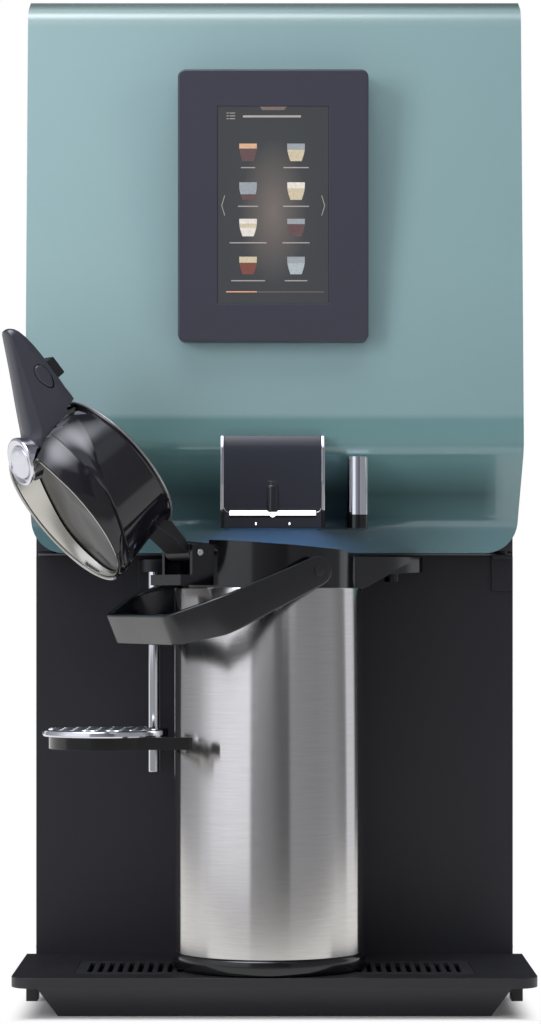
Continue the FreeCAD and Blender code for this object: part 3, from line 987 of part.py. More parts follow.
def make_flask():
    """Flask body: base, steel shell, liner, collar with spout, siphon tube, hinge pin and bail."""
    up = V(0, 0, 1)
    base = Part.makeCylinder(FLASK_BASE_RADIUS, FLASK_BASE_TOP - TRAY_TOP, V(0, 0, TRAY_TOP))
    base = base.makeFillet(3.0, [e for e in base.Edges if e.BoundBox.ZLength < 0.1])
    base = base.fuse(Part.makeCylinder(FLASK_RADIUS - FLASK_WALL - 0.1, 16, V(0, 0, FLASK_BASE_TOP - 10)))
    save("flask_base", place_flask(base))

    height = FLASK_SHOULDER - FLASK_BASE_TOP
    shell = Part.makeCylinder(FLASK_RADIUS, height, V(0, 0, FLASK_BASE_TOP))
    shell = shell.cut(Part.makeCylinder(FLASK_RADIUS - FLASK_WALL, height + 2, V(0, 0, FLASK_BASE_TOP - 1)))
    save("flask_shell", place_flask(shell))

    liner_bottom = FLASK_BASE_TOP + 6
    liner = Part.makeCylinder(LINER_RADIUS, FLASK_SHOULDER - liner_bottom, V(0, 0, liner_bottom))
    liner = liner.fuse(Part.makeCylinder(FLASK_RADIUS - FLASK_WALL - 0.1, 1.5, V(0, 0, FLASK_SHOULDER - 1.5)))
    liner = liner.cut(Part.makeCylinder(LINER_RADIUS - 1.2, 400, V(0, 0, liner_bottom + 1.2)))
    collar = Part.makeCylinder(COLLAR_RADIUS, 60, V(0, 0, FLASK_SHOULDER))
    bore = Part.makeCylinder(MOUTH_RADIUS, 80, V(MOUTH_OFFSET, 0, FLASK_SHOULDER - 1))
    rim_u = LID_RIM_CENTRE - LID_HINGE_BACK
    rebate = Part.makeCylinder(LID_RIM_RADIUS + 1, 40, V(rim_u, 0, LID_HINGE_Z - 1))
    collar = collar.cut(bore).cut(rebate)
    slope = math.atan2(COLLAR_SLOPE, COLLAR_RADIUS)
    lid_plane = Part.makeBox(400, 400, 100, V(-200, -200, 0))
    lid_plane.rotate(V(0, 0, 0), V(0, 1, 0), math.degrees(slope))
    lid_plane.translate(V(0, 0, COLLAR_TOP))
    collar = collar.cut(lid_plane)
    beak = prism([V(40, 38, FLASK_SHOULDER), V(40, -38, FLASK_SHOULDER), V(64, -32, FLASK_SHOULDER),
                  V(SPOUT_REACH - 7, -12, FLASK_SHOULDER), V(SPOUT_REACH, -6, FLASK_SHOULDER),
                  V(SPOUT_REACH, 6, FLASK_SHOULDER), V(SPOUT_REACH - 7, 12, FLASK_SHOULDER),
                  V(64, 32, FLASK_SHOULDER)], up * (SPOUT_TOP - FLASK_SHOULDER))
    under = prism([V(64, -60, FLASK_SHOULDER - 2), V(200, -60, FLASK_SHOULDER - 2),
                   V(200, -60, FLASK_SHOULDER + 16), V(96, -60, FLASK_SHOULDER + 11)], V(0, 120, 0))
    groove = prism([V(50, -20, SPOUT_TOP - 6), V(SPOUT_REACH - 4, -7, SPOUT_TOP - 6),
                    V(SPOUT_REACH - 4, 7, SPOUT_TOP - 6), V(50, 20, SPOUT_TOP - 6)], up * 20)
    beak = beak.cut(under).cut(groove).cut(bore)
    nozzle = Part.makeCylinder(6, 12, V(110, 0, FLASK_SHOULDER + 5))
    collar = collar.fuse(beak).fuse(nozzle).cut(Part.makeCylinder(4, 30, V(110, 0, FLASK_SHOULDER)))
    bridge = box(44, 60, -7, 7, FLASK_SHOULDER + 2, FLASK_SHOULDER + 18)
    tube_x = 50.0
    collar = collar.fuse(bridge).cut(Part.makeCylinder(4.05, 60, V(tube_x, 0, FLASK_SHOULDER - 20)))
    pin_bore = Part.makeCylinder(2.5 + RUNNING_CLEARANCE, 100, V(-LID_HINGE_BACK, -50, LID_HINGE_Z), V(0, 1, 0))
    for side in (-1, 1):
        ear = box(-LID_HINGE_BACK - 6, -COLLAR_RADIUS + 8, side * 22, side * 26, FLASK_SHOULDER + 8, LID_HINGE_Z + 6)
        boss = rod(V(0, side * (COLLAR_RADIUS - 4), BAIL_PIVOT_Z), V(0, side * (BAIL_INNER - 0.3), BAIL_PIVOT_Z), 9)
        stud = rod(V(0, side * (COLLAR_RADIUS - 4), BAIL_PIVOT_Z), V(0, side * (BAIL_HALF_WIDTH + 0.5), BAIL_PIVOT_Z), 4)
        collar = collar.fuse(ear).fuse(boss).fuse(stud)
    collar = collar.fuse(box(-LID_HINGE_BACK - 16, -COLLAR_RADIUS + 4, -26, 26, FLASK_SHOULDER + 2, FLASK_SHOULDER + 10))
    passage = box(-LID_HINGE_BACK - 20, -40, -22, 22, LID_HINGE_Z - 8, LID_HINGE_Z + 40)
    collar = collar.cut(pin_bore).cut(passage)
    under_door = box(-100, 100, ahead(PANEL_LIP_DEPTH + 2), 0, PANEL_BOTTOM - 2, 400)
    save("flask_collar", place_flask(collar.removeSplitter()).cut(under_door))
    pin = Part.makeCylinder(2.5, 56, V(-LID_HINGE_BACK, -28, LID_HINGE_Z), V(0, 1, 0))
    save("lid_hinge_pin", place_flask(pin))
    tube = Part.makeCylinder(4, FLASK_SHOULDER + 20 - liner_bottom - 6, V(tube_x, 0, liner_bottom + 6))
    tube = tube.cut(Part.makeCylinder(3, 400, V(tube_x, 0, liner_bottom)))
    save("flask_liner", place_flask(liner), place_flask(tube))
    make_bail()


def make_bail():
    """Wide strap handle, hanging behind the flask on two studs."""
    outer = [V(12, BAIL_HALF_WIDTH, 0), V(-84, BAIL_HALF_WIDTH, 0), V(-BAIL_REACH, 54, 0),
             V(-BAIL_REACH, -54, 0), V(-84, -BAIL_HALF_WIDTH, 0), V(12, -BAIL_HALF_WIDTH, 0)]
    inner = [V(13, BAIL_INNER, 0), V(-82, BAIL_INNER, 0), V(-BAIL_REACH + BAIL_THICKNESS, 51, 0),
             V(-BAIL_REACH + BAIL_THICKNESS, -51, 0), V(-82, -BAIL_INNER, 0), V(13, -BAIL_INNER, 0)]
    strap = prism(outer, V(0, 0, 60)).cut(prism(inner, V(0, 0, 60)))
    strap.translate(V(0, 0, -30))
    side_view = prism([V(0, -100, BAIL_END_RADIUS), V(-50, -100, 12.5), V(-85, -100, 13),
                       V(-BAIL_REACH - 1, -100, 12), V(-BAIL_REACH - 1, -100, -11), V(-BAIL_REACH + 6, -100, -14.5),
                       V(-88, -100, -16), V(-50, -100, -13.2), V(0, -100, -BAIL_END_RADIUS)], V(0, 200, 0))
    ends = Part.makeCylinder(BAIL_END_RADIUS, 200, V(0, -100, 0), V(0, 1, 0))
    strap = strap.common(side_view.fuse(ends))
    strap = strap.cut(Part.makeCylinder(4 + RUNNING_CLEARANCE, 200, V(0, -100, 0), V(0, 1, 0)))
    strap.rotate(V(0, 0, 0), V(0, 1, 0), -BAIL_DROP)
    strap.translate(V(0, 0, BAIL_PIVOT_Z))
    save("bail_handle", place_flask(strap.removeSplitter()))


def lid_ellipse(centre, along, across, height):
    """Ellipse in the lid's closed frame at one height above the hinge."""
    curve = Part.Ellipse(V(centre, 0, height), along, across)
    return Part.Wire(curve.toShape())


def oval_disc(along, across, thickness):
    """Oval disc centred on the origin, its long side along Y."""
    curve = Part.Ellipse(V(0, 0, 0), across, along)
    disc = Part.Face(Part.Wire(curve.toShape())).extrude(V(0, 0, thickness))
    disc.rotate(V(0, 0, 0), V(0, 0, 1), 90)
    return disc


def place_badge(shape):
    """Put a disc on the sloping front of the lid's top plate, in the closed lid's frame."""
    shape.rotate(V(0, 0, 0), V(0, 1, 0), BADGE_TILT)
    shape.translate(V(BADGE_A, 0, BADGE_H))
    return shape


def make_lid():
    """Open lid: body, bellows, pump lever with its nose, chrome band and lever lock."""
    rim = Part.makeCylinder(LID_RIM_RADIUS, LID_RIM_RISE, V(LID_RIM_CENTRE, 0, 0))
    dome = Part.makeLoft([lid_ellipse(LID_RIM_CENTRE, LID_RIM_RADIUS - 0.9, LID_RIM_RADIUS - 1, LID_RIM_RISE - 0.5),
                          lid_ellipse(PLATE_CENTRE + 1, PLATE_ALONG - 4, LID_RIM_RADIUS - 3, 30),
                          lid_ellipse(PLATE_CENTRE, PLATE_ALONG, PLATE_ACROSS, PLATE_BOTTOM)], True, False)
    wedge = prism([V(10, -90, PLATE_BOTTOM - 0.5), V(180, -90, PLATE_BOTTOM - 12.5), V(180, -90, 90), V(10, -90, 90)],
                  V(0, 180, 0))
    notch = box(NOSE_BACK - 14.5, NOSE_BACK + 10, -NOSE_HALF - 1, NOSE_HALF + 1, 26, 90)
    cavity = Part.makeCylinder(LID_RIM_RADIUS - 14, 34, V(BELLOWS_CENTRE, 0, -2))
    knuckle = Part.makeCylinder(6.5, 42, V(0, -21, 0), V(0, 1, 0))
    knuckle = knuckle.fuse(box(0, 40, -21, 21, 0, 6))
    body = rim.fuse(dome.cut(wedge).cut(notch)).fuse(knuckle).cut(cavity)
    body = body.cut(Part.makeCylinder(2.5 + RUNNING_CLEARANCE, 60, V(0, -30, 0), V(0, 1, 0)))
    save("lid_body", place_lid(body.removeSplitter()))

    bellows = Part.makeCylinder(34, 36, V(BELLOWS_CENTRE, 0, -4))
    for number in range(4):
        bellows = bellows.fuse(Part.makeCylinder(38, 4, V(BELLOWS_CENTRE, 0, 1 + number * 8)))
    save("lid_bellows", place_lid(bellows))

    plate = Part.makeLoft([lid_ellipse(PLATE_CENTRE, PLATE_ALONG, PLATE_ACROSS, PLATE_BOTTOM),
                           lid_ellipse(PLATE_CENTRE + 1.7, PLATE_ALONG - 2, PLATE_ACROSS - 4, PLATE_TOP)], True, False)
    slope = place_badge(box(-60, 60, -60, 60, 0, 40))
    neck = NOSE_BACK - 10.5
    side_view = prism([V(neck, -60, PLATE_TOP), V(NOSE_BACK, -60, 52), V(NOSE_BACK + 1, -60, 39), V(194, -60, 20.7),
                       V(NOSE_TIP, -60, 10), V(NOSE_TIP - 6, -60, 0), V(NOSE_BACK, -60, 1), V(NOSE_BACK, -60, 36),
                       V(NOSE_BACK - 7, -60, 36), V(neck, -60, 44)], V(0, 120, 0))
    plan = prism([V(134, -NOSE_HALF, 0), V(155, -NOSE_HALF, 0), V(174, -14.5, 0), V(194, -12, 0),
                  V(NOSE_TIP + 1, -7, 0), V(NOSE_TIP + 1, 7, 0), V(194, 12, 0), V(174, 14.5, 0),
                  V(155, NOSE_HALF, 0), V(134, NOSE_HALF, 0)], V(0, 0, 80))
    nose = side_view.common(plan)
    clip = box(172, 184, -5, 5, -5, 3)
    lock_bore = oval_bar(178.3, 11.2, -60, 60, 10.2, 5.2)
    lever = plate.fuse(nose).cut(slope).fuse(clip).cut(lock_bore)
    save("pump_lever", place_lid(lever.removeSplitter()))
    save("lever_lock", place_lid(oval_bar(178.3, 11.2, -15.5, 12, 10, 5)))

    band = Part.makeLoft([lid_ellipse(PLATE_CENTRE + 1.7, PLATE_ALONG - 2, PLATE_ACROSS - 4, PLATE_TOP),
                          lid_ellipse(PLATE_CENTRE + 2.7, PLATE_ALONG - 5, PLATE_ACROSS - 8, BAND_TOP)], True, False)
    band = band.cut(Part.makeLoft([lid_ellipse(PLATE_CENTRE + 1.7, PLATE_ALONG - 12, PLATE_ACROSS - 18, PLATE_TOP - 1),
                                   lid_ellipse(PLATE_CENTRE + 1.7, PLATE_ALONG - 12, PLATE_ACROSS - 18, BAND_TOP + 2)],
                                  True, False))
    ring = place_badge(oval_disc(15.5, 19.5, 1.5).cut(oval_disc(12.5, 16.2, 1.5)))
    badge = place_badge(oval_disc(12.2, 15.9, 2.4))
    save("lid_band", place_lid(band.cut(slope)), place_lid(ring), place_lid(badge))


def oval_bar(a, h, v0, v1, half_length, radius):
    """Bar of oval section through the nose, long side along the nose."""
    straight = half_length - radius
    bar = box(a - straight, a + straight, v0, v1, h - radius, h + radius)
    for side in (-1, 1):
        bar = bar.fuse(rod(V(a + side * straight, v0, h), V(a + side * straight, v1, h), radius))
    return bar.removeSplitter()


os.makedirs("parts", exist_ok=True)
make_cabinet()
for number, place in enumerate(canister_places(), 1):
    make_canister(number, place)
make_drives()
make_services()
make_door()
make_door_fittings()
make_drip_tray()
make_cup_holder()
make_flask()
make_lid()
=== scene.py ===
"""Looks of an instant drink dispenser and its lever pump flask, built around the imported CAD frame."""

import json
import logging
import math
from collections.abc import Mapping, Sequence
from dataclasses import dataclass, field
from enum import Enum
from functools import cache
from typing import Any

import bmesh
import bpy
from mathutils import Matrix, Vector


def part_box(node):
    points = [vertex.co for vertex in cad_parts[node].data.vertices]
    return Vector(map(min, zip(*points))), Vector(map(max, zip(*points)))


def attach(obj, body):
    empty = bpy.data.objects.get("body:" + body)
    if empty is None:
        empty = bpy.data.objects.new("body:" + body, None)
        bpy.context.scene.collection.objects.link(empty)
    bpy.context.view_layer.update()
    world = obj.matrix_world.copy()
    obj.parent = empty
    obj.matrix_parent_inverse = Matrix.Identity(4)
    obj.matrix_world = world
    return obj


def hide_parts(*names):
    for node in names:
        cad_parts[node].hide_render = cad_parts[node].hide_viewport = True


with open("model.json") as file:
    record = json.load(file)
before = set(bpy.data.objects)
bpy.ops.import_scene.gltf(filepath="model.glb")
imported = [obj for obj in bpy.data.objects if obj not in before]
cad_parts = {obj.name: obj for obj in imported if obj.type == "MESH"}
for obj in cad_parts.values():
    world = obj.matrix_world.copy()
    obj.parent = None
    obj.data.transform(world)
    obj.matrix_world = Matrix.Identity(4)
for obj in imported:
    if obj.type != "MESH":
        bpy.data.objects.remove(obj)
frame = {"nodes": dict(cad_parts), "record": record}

LOG = logging.getLogger("dispenser")
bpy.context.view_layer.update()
BODY_OF = {node: body for body, nodes in frame["record"]["behaviour"]["bodies"].items() for node in nodes}
SLOT_OF = {part["node"]: part["material_slot"] for part in frame["record"]["subparts"]}
MM = 0.001

Colour = tuple[float, float, float]
Point = tuple[float, float, float]
Flat = tuple[float, float]
Outline = Sequence[Flat]
Table = tuple[Flat, ...]
Rows = Sequence[tuple[float, ...]]
Inputs = Mapping[str | int, Any]
Piece = bpy.types.Object


def mm(*sizes: float) -> tuple[float, ...]:
    """Sizes in millimetres, as metres."""
    return tuple(size * MM for size in sizes)


def tone(red: int, green: int, blue: int) -> Colour:
    """Linear colour of an 8-bit display colour."""
    shares = (channel / 255 for channel in (red, green, blue))
    return tuple(share / 12.92 if share <= 0.04045 else ((share + 0.055) / 1.055) ** 2.4 for share in shares)


class Ease(Enum):
    """How a value goes from one level to the other."""

    STRAIGHT = "LINEAR"
    SOFT = "SMOOTHSTEP"


class Nodes:
    """A node tree and the short calls that build it up."""

    def __init__(self, tree: bpy.types.NodeTree) -> None:
        """Take over a tree."""
        self.tree = tree

    def fill(self, node: bpy.types.Node, inputs: Inputs) -> None:
        """Set or link a node's inputs.

        Args:
            node: The node.
            inputs: A number, colour, vector or output for each input's name or number.
        """
        for key, value in inputs.items():
            socket = node.inputs[key]
            if isinstance(value, bpy.types.NodeSocket):
                self.tree.links.new(value, socket)
            else:
                socket.default_value = (*value, 1) if socket.type == "RGBA" else value

    def add(self, kind: str, inputs: Inputs, **settings: Any) -> bpy.types.Node:
        """Add a node.

        Args:
            kind: Blender's name of its type, after the word ShaderNode.
            inputs: What its inputs are set or linked to.
            **settings: Properties to set on it.

        Returns:
            The new node.
        """
        node = self.tree.nodes.new("ShaderNode" + kind)
        for key, value in settings.items():
            setattr(node, key, value)
        self.fill(node, inputs)
        return node

    def calc(self, operation: str, first: Any, second: Any) -> Any:
        """The output of a sum on two numbers or outputs."""
        return self.add("Math", {0: first, 1: second}, operation=operation).outputs[0]

    def blend(self, share: Any, first: Any, second: Any) -> Any:
        """The output of two shaders in shares."""
        return self.add("MixShader", {0: share, 1: first, 2: second}).outputs[0]

    def span(self, value: Any, low: float, high: float, start: float = 0.3, end: float = 0.7,
             ease: Ease = Ease.STRAIGHT) -> Any:
        """The output of a value that goes from low to high between start and end."""
        inputs = {"Value": value, "From Min": start, "From Max": end, "To Min": low, "To Max": high}
        return self.add("MapRange", inputs, interpolation_type=ease.value).outputs["Result"]

    def eased(self, value: Any, start: float, end: float, low: float = 0.0, high: float = 1.0) -> Any:
        """The same with soft ends."""
        return self.span(value, low, high, start, end, Ease.SOFT)

    def ramp(self, value: Any, stops: Sequence[tuple[float, Colour]]) -> Any:
        """Colours along a value from 0 to 1.

        Args:
            value: The output to read.
            stops: Places and their colours, lowest first.

        Returns:
            The colour output.
        """
        node = self.add("ValToRGB", {"Fac": value})
        band = node.color_ramp.elements
        while len(band) < len(stops):
            band.new(0.5)
        for element, (place, colour) in zip(band, stops):
            element.position = place
            element.color = (*colour, 1)
        return node.outputs["Color"]


class Graph(Nodes):
    """The node graph of one material, with its surface shader ready."""

    def __init__(self, name: str) -> None:
        """Start a material with a plain surface shader."""
        self.material = bpy.data.materials.new(name)
        self.material.use_nodes = True
        super().__init__(self.material.node_tree)
        self.shader = self.tree.nodes["Principled BSDF"]
        self.place = self.add("TexCoord", {}).outputs["Object"]

    def surface(self, inputs: Inputs) -> None:
        """Set or link the surface shader's inputs."""
        self.fill(self.shader, inputs)

    def axis(self, name: str) -> Any:
        """The output of one object coordinate, in metres."""
        return self.add("SeparateXYZ", {"Vector": self.place}).outputs[name]

    def noise(self, scale: float, detail: float = 3.0, stretch: Point = (1, 1, 1)) -> Any:
        """The output of noise with so many cells per metre, stretched along each axis."""
        place = self.add("Mapping", {"Scale": stretch, "Vector": self.place}).outputs["Vector"]
        return self.add("TexNoise", {"Scale": scale, "Detail": detail, "Vector": place}).outputs["Fac"]

    def mixed(self, share: Any, first: Any, second: Any) -> Any:
        """Blend two colours.

        Args:
            share: Output that says how much of the second colour shows.
            first: A colour or an output.
            second: A colour or an output.

        Returns:
            The blended colour's output.
        """
        node = self.add("Mix", {"Factor": share}, data_type="RGBA")
        sockets = [number for number, socket in enumerate(node.inputs) if socket.type == "RGBA"]
        self.fill(node, dict(zip(sockets, (first, second))))
        return next(socket for socket in node.outputs if socket.type == "RGBA")

    def relief(self, height: Any, depth: float) -> None:
        """Drive the shader's normal with a height output; a full step is so many metres deep."""
        bump = self.add("Bump", {"Strength": 1.0, "Distance": depth, "Height": height})
        self.surface({"Normal": bump.outputs["Normal"]})


@dataclass(frozen=True)
class Finish:
    """A moulded or painted surface: fine grain, blotches in its gloss and a slight change of tone."""

    name: str
    colour: Colour
    shade: float = 0.8
    roughness: float = 0.4
    spread: float = 0.08
    grain: float = 1400.0
    depth: float = 0.00002
    metal: float = 0.0
    coat: float = 0.0
    clear: float = 0.0

    def darker(self) -> Colour:
        """The colour of the finish in its darker patches."""
        return tuple(channel * self.shade for channel in self.colour)

    def dress(self, graph: Graph) -> None:
        """Set up a material's surface.

        Args:
            graph: The material's graph.
        """
        blotch = graph.noise(9.0, 4.0)
        low = max(self.roughness - self.spread, 0.02)
        graph.surface({"Base Color": graph.mixed(graph.span(blotch, 0, 1), self.colour, self.darker()),
                       "Roughness": graph.span(blotch, low, self.roughness + self.spread),
                       "Metallic": self.metal, "Coat Weight": self.coat, "Coat Roughness": 0.06,
                       "Transmission Weight": self.clear})
        graph.relief(graph.noise(self.grain, 2.0), self.depth)


@dataclass(frozen=True)
class Brushed(Finish):
    """Brushed metal: long fine lines round Z that change its tone, gloss and relief."""

    lines: Point = (40.0, 40.0, 1700.0)
    stretch: float = 0.6

    def dress(self, graph: Graph) -> None:
        """Set up a material's surface.

        Args:
            graph: The material's graph.
        """
        lines = graph.noise(1.0, 5.0, self.lines)
        gloss = (self.roughness - self.spread, self.roughness + self.spread)
        graph.surface({"Base Color": graph.mixed(graph.span(lines, 0, 1), self.darker(), self.colour),
                       "Roughness": graph.span(graph.noise(3.0, 2.0, self.lines), *gloss),
                       "Metallic": self.metal, "Anisotropic": self.stretch, "Anisotropic Rotation": 0.25,
                       "Tangent": graph.add("Tangent", {}, direction_type="RADIAL", axis="Z").outputs[0]})
        graph.relief(lines, self.depth)


@dataclass(frozen=True)
class PanelTint(Finish):
    """The door's glossy tinted panel: pale above, deeper where it turns under, with painted shade in the
    recess under the chin and painted shade over its right side.
    """

    lip: Colour = tone(84, 120, 126)
    chin: Colour = tone(100, 140, 140)
    above_chin: Colour = tone(144, 172, 175)
    roll: Colour = tone(168, 192, 192)
    crest: Colour = tone(172, 196, 196)
    # painted shade: the darker tint laid over the panel's right side, where less lamp light falls
    right_shade: Colour = tone(116, 149, 153)
    # painted shade: the dark tint laid in the recess under the chin, beside the outlet
    recess_shade: Colour = tone(52, 72, 70)
    heights: Flat = (0.354, 0.792)
    recess_shade_heights: tuple[float, float, float] = (0.376, 0.4, 0.426)
    recess_shade_end: Flat = (0.165, 0.182)
    half_width: float = 0.19

    def dress(self, graph: Graph) -> None:
        """Set up a material's surface.

        Args:
            graph: The material's graph.
        """
        stops = ((0.0, self.lip), (0.055, self.lip), (0.16, self.chin), (0.235, self.chin),
                 (0.245, self.above_chin), (0.5, self.colour), (0.945, self.colour), (0.953, self.roll),
                 (1.0, self.crest))
        tint = graph.ramp(graph.span(graph.axis("Z"), 0, 1, *self.heights), stops)
        # painted shade: the panel darkens toward its right side, up to half way to the shaded tint
        side = graph.span(graph.axis("X"), 0, 1, -self.half_width, self.half_width)
        tint = graph.mixed(graph.span(side, 0.0, 0.5, 0.0, 1.0), tint, self.right_shade)
        # painted shade: a dark band across the recess under the chin, fading out toward both sides
        foot, middle, top = self.recess_shade_heights
        band = graph.calc("MULTIPLY", graph.span(graph.axis("Z"), 0, 1, foot, middle),
                          graph.span(graph.axis("Z"), 1, 0, middle, top))
        band = graph.calc("MULTIPLY", band, graph.span(graph.axis("X"), 1, 0, *self.recess_shade_end))
        tint = graph.mixed(graph.span(band, 0, 0.7, 0.0, 1.0), tint, self.recess_shade)
        smear = graph.noise(5.0, 3.0, (1, 1, 4))
        graph.surface({"Base Color": tint, "Roughness": graph.span(smear, 0.1, 0.2), "Coat Weight": self.coat,
                       "Coat Roughness": 0.03})
        graph.relief(graph.noise(14.0, 1.0), 0.0002)


@dataclass(frozen=True)
class Lit(Finish):
    """A surface that gives light of its own, with a slight change of tone."""

    shade: float = 0.92
    roughness: float = 0.3
    grain: float = 60.0
    power: float = 1.0

    def dress(self, graph: Graph) -> None:
        """Set up a material's surface.

        Args:
            graph: The material's graph.
        """
        glow = graph.mixed(graph.span(graph.noise(self.grain, 2.0), 0, 1), self.colour, self.darker())
        graph.surface({"Base Color": glow, "Emission Color": glow, "Emission Strength": self.power,
                       "Roughness": self.roughness})


@dataclass(frozen=True)
class ScreenGlow(Finish):
    """The screen's dark picture, with a warm glow down its middle."""

    middle: Flat = (-0.001, 0.618)
    reach: Flat = (25.0, 11.5)
    glow: Colour = tone(126, 114, 108)
    power: float = 0.75

    def dress(self, graph: Graph) -> None:
        """Set up a material's surface.

        Args:
            graph: The material's graph.
        """
        (x, z), (across, up) = self.middle, self.reach
        place = graph.add("Mapping", {"Scale": (across, 0.0, up), "Location": (-x * across, 0.0, -z * up),
                                      "Vector": graph.place})
        ball = graph.add("TexGradient", {"Vector": place.outputs[0]}, gradient_type="SPHERICAL")
        stops = ((0.0, self.colour), (0.35, self.darker()), (1.0, self.glow))
        picture = graph.ramp(ball.outputs["Fac"], stops)
        graph.surface({"Base Color": self.colour, "Emission Color": picture, "Emission Strength": self.power,
                       "Roughness": graph.span(graph.noise(20.0, 4.0), 0.05, 0.12), "Coat Weight": self.coat})


BLACK_SHEET = Finish("black powder coat", tone(28, 28, 35), 0.85, 0.48, 0.05, 1500.0, 0.00003)
ZINC_SHEET = Finish("zinc plated sheet", tone(160, 163, 166), 0.8, 0.32, 0.1, 160.0, 0.00001, metal=1.0)
FOOT_RUBBER = Finish("foot rubber", tone(34, 34, 34), 0.8, 0.75, 0.1, 900.0, 0.00006)
CASING_PLASTIC = Finish("casing plastic", tone(44, 46, 50), 0.85, 0.45, 0.06, 2200.0, 0.00003)
BEZEL_PLASTIC = Finish("bezel plastic", tone(62, 62, 74), 0.93, 0.36, 0.04, 2600.0, 0.000015)
GLOSS_BLACK = Finish("gloss black plastic", tone(10, 10, 13), 0.9, 0.14, 0.03, 60.0, 0.000012, coat=0.2)
OUTLET_FACE = Finish("outlet face plastic", tone(44, 46, 56), 0.92, 0.22, 0.04, 2400.0, 0.000005, coat=0.1)
RIDGE_PLASTIC = Finish("ridge plastic", tone(34, 34, 40), 0.9, 0.2, 0.04, 900.0, 0.000004, coat=0.3)
TRAY_PLASTIC = Finish("tray plastic", tone(30, 30, 34), 0.85, 0.42, 0.06, 1800.0, 0.00005)
BAIL_PLASTIC = Finish("bail plastic", tone(18, 18, 23), 0.9, 0.26, 0.05, 1500.0, 0.00001, coat=0.3)
GRILL_PLASTIC = Finish("grill plastic", tone(34, 34, 38), 0.85, 0.5, 0.06, 1800.0, 0.00004)
NOSE_PLASTIC = Finish("nose plastic", tone(60, 60, 70), 0.9, 0.24, 0.05, 900.0, 0.000002)
MATT_BLACK = Finish("matt black plastic", tone(24, 24, 28), 0.85, 0.5, 0.06, 1500.0, 0.00002)
CHROME = Finish("polished chrome", tone(224, 225, 230), 0.95, 0.06, 0.03, 40.0, 0.000003, metal=1.0)
LID_BLACK = Finish("lid black", tone(24, 24, 30), 0.9, 0.09, 0.02, 700.0, 0.000001)
DISH_BLACK = Finish("dish black", tone(22, 21, 24), 0.9, 0.2, 0.05, 900.0, 0.000002)
RIM_GREY = Finish("rim grey", tone(150, 150, 150), 0.9, 0.25, 0.05, 700.0, 0.000002, metal=0.6)
TRIM_SILVER = Finish("trim silver", tone(190, 189, 184), 0.9, 0.3, 0.05, 400.0, 0.000002, metal=0.8)
SATIN_SILVER = Finish("satin silver", tone(206, 204, 196), 0.92, 0.24, 0.05, 300.0, 0.000004, metal=1.0)
BADGE_SILVER = Finish("badge silver", tone(226, 226, 234), 0.9, 0.28, 0.08, 900.0, 0.00002, metal=0.7)
DARK_METAL = Finish("dark plated metal", tone(92, 93, 98), 0.8, 0.35, 0.1, 700.0, 0.00001, metal=1.0)
MOTOR_PAINT = Finish("motor paint", tone(70, 72, 76), 0.8, 0.4, 0.1, 900.0, 0.00003, metal=0.6)
WHITE_PLASTIC = Finish("white plastic", tone(214, 214, 208), 0.93, 0.42, 0.06, 1500.0, 0.00002)
SMOKED_CLEAR = Finish("smoked clear plastic", tone(190, 196, 200), 0.9, 0.12, 0.04, 60.0, 0.00001, clear=0.75)
SILICONE = Finish("silicone hose", tone(214, 210, 200), 0.9, 0.4, 0.06, 700.0, 0.00002, clear=0.3)
BOARD_GREEN = Finish("lacquered board", tone(24, 86, 52), 0.8, 0.3, 0.08, 500.0, 0.00004)
BRASS = Finish("machined brass", tone(196, 158, 92), 0.85, 0.25, 0.08, 900.0, 0.00001, metal=1.0)
STEEL = Brushed("brushed flask steel", tone(208, 205, 202), 0.92, 0.155, 0.02, 0.0, 0.00000025, metal=1.0,
                stretch=0.9)
TANK_STEEL = Brushed("rolled tank steel", tone(188, 188, 188), 0.8, 0.36, 0.08, 0.0, 0.00001, metal=1.0)
PANEL = PanelTint("tinted door panel", tone(155, 185, 188), coat=0.7)
SCREEN = ScreenGlow("screen picture", tone(50, 52, 54), 1.15, coat=0.4)
LED = Lit("light line", (1.0, 1.0, 1.0), power=2.4)
LED_BLUE = Lit("cool light pads", (0.4, 0.5, 1.0), power=44.0)


@cache
def material_of(finish: Finish) -> bpy.types.Material:
    """The material of a finish, built once.

    Args:
        finish: The finish.

    Returns:
        Its material.
    """
    graph = Graph(finish.name)
    finish.dress(graph)
    return graph.material


def as_object(name: str, data: Any) -> Piece:
    """Show a mesh, curve, lamp or camera as an object at the frame's origin.

    Args:
        name: The object's name.
        data: What it shows.

    Returns:
        The new object.
    """
    piece = bpy.data.objects.new(name, data)
    bpy.context.scene.collection.objects.link(piece)
    return piece


def from_bmesh(name: str, shape: bmesh.types.BMesh, crease: float = 35.0) -> Piece:
    """Turn a bmesh into a smooth-shaded object with sharp edges above an angle.

    Args:
        name: The piece's name.
        shape: The bmesh, freed here.
        crease: Edges with a larger angle stay sharp, in degrees.

    Returns:
        The new object.
    """
    bmesh.ops.recalc_face_normals(shape, faces=shape.faces)
    for face in shape.faces:
        face.smooth = True
    for edge in shape.edges:
        edge.smooth = edge.calc_face_angle(0.0) < math.radians(crease)
    mesh = bpy.data.meshes.new(name)
    shape.to_mesh(mesh)
    shape.free()
    return as_object(name, mesh)


def evaluated(piece: Piece) -> bpy.types.Mesh:
    """A copy of a piece's mesh with its modifiers applied."""
    bpy.context.view_layer.update()
    return bpy.data.meshes.new_from_object(piece.evaluated_get(bpy.context.evaluated_depsgraph_get()))


def round_edges(piece: Piece, radius: float, steps: int = 2, angle: float = 35.0) -> Piece:
    """Round a piece's sharp edges.

    Args:
        piece: The piece.
        radius: Width of the rounding, in metres.
        steps: Segments across it.
        angle: Edges with a larger angle are rounded, in degrees.

    Returns:
        The same piece.
    """
    bevel = piece.modifiers.new("edges", "BEVEL")
    bevel.width = radius
    bevel.segments = steps
    bevel.limit_method = "ANGLE"
    bevel.angle_limit = math.radians(angle)
    bevel.harden_normals = True
    return piece


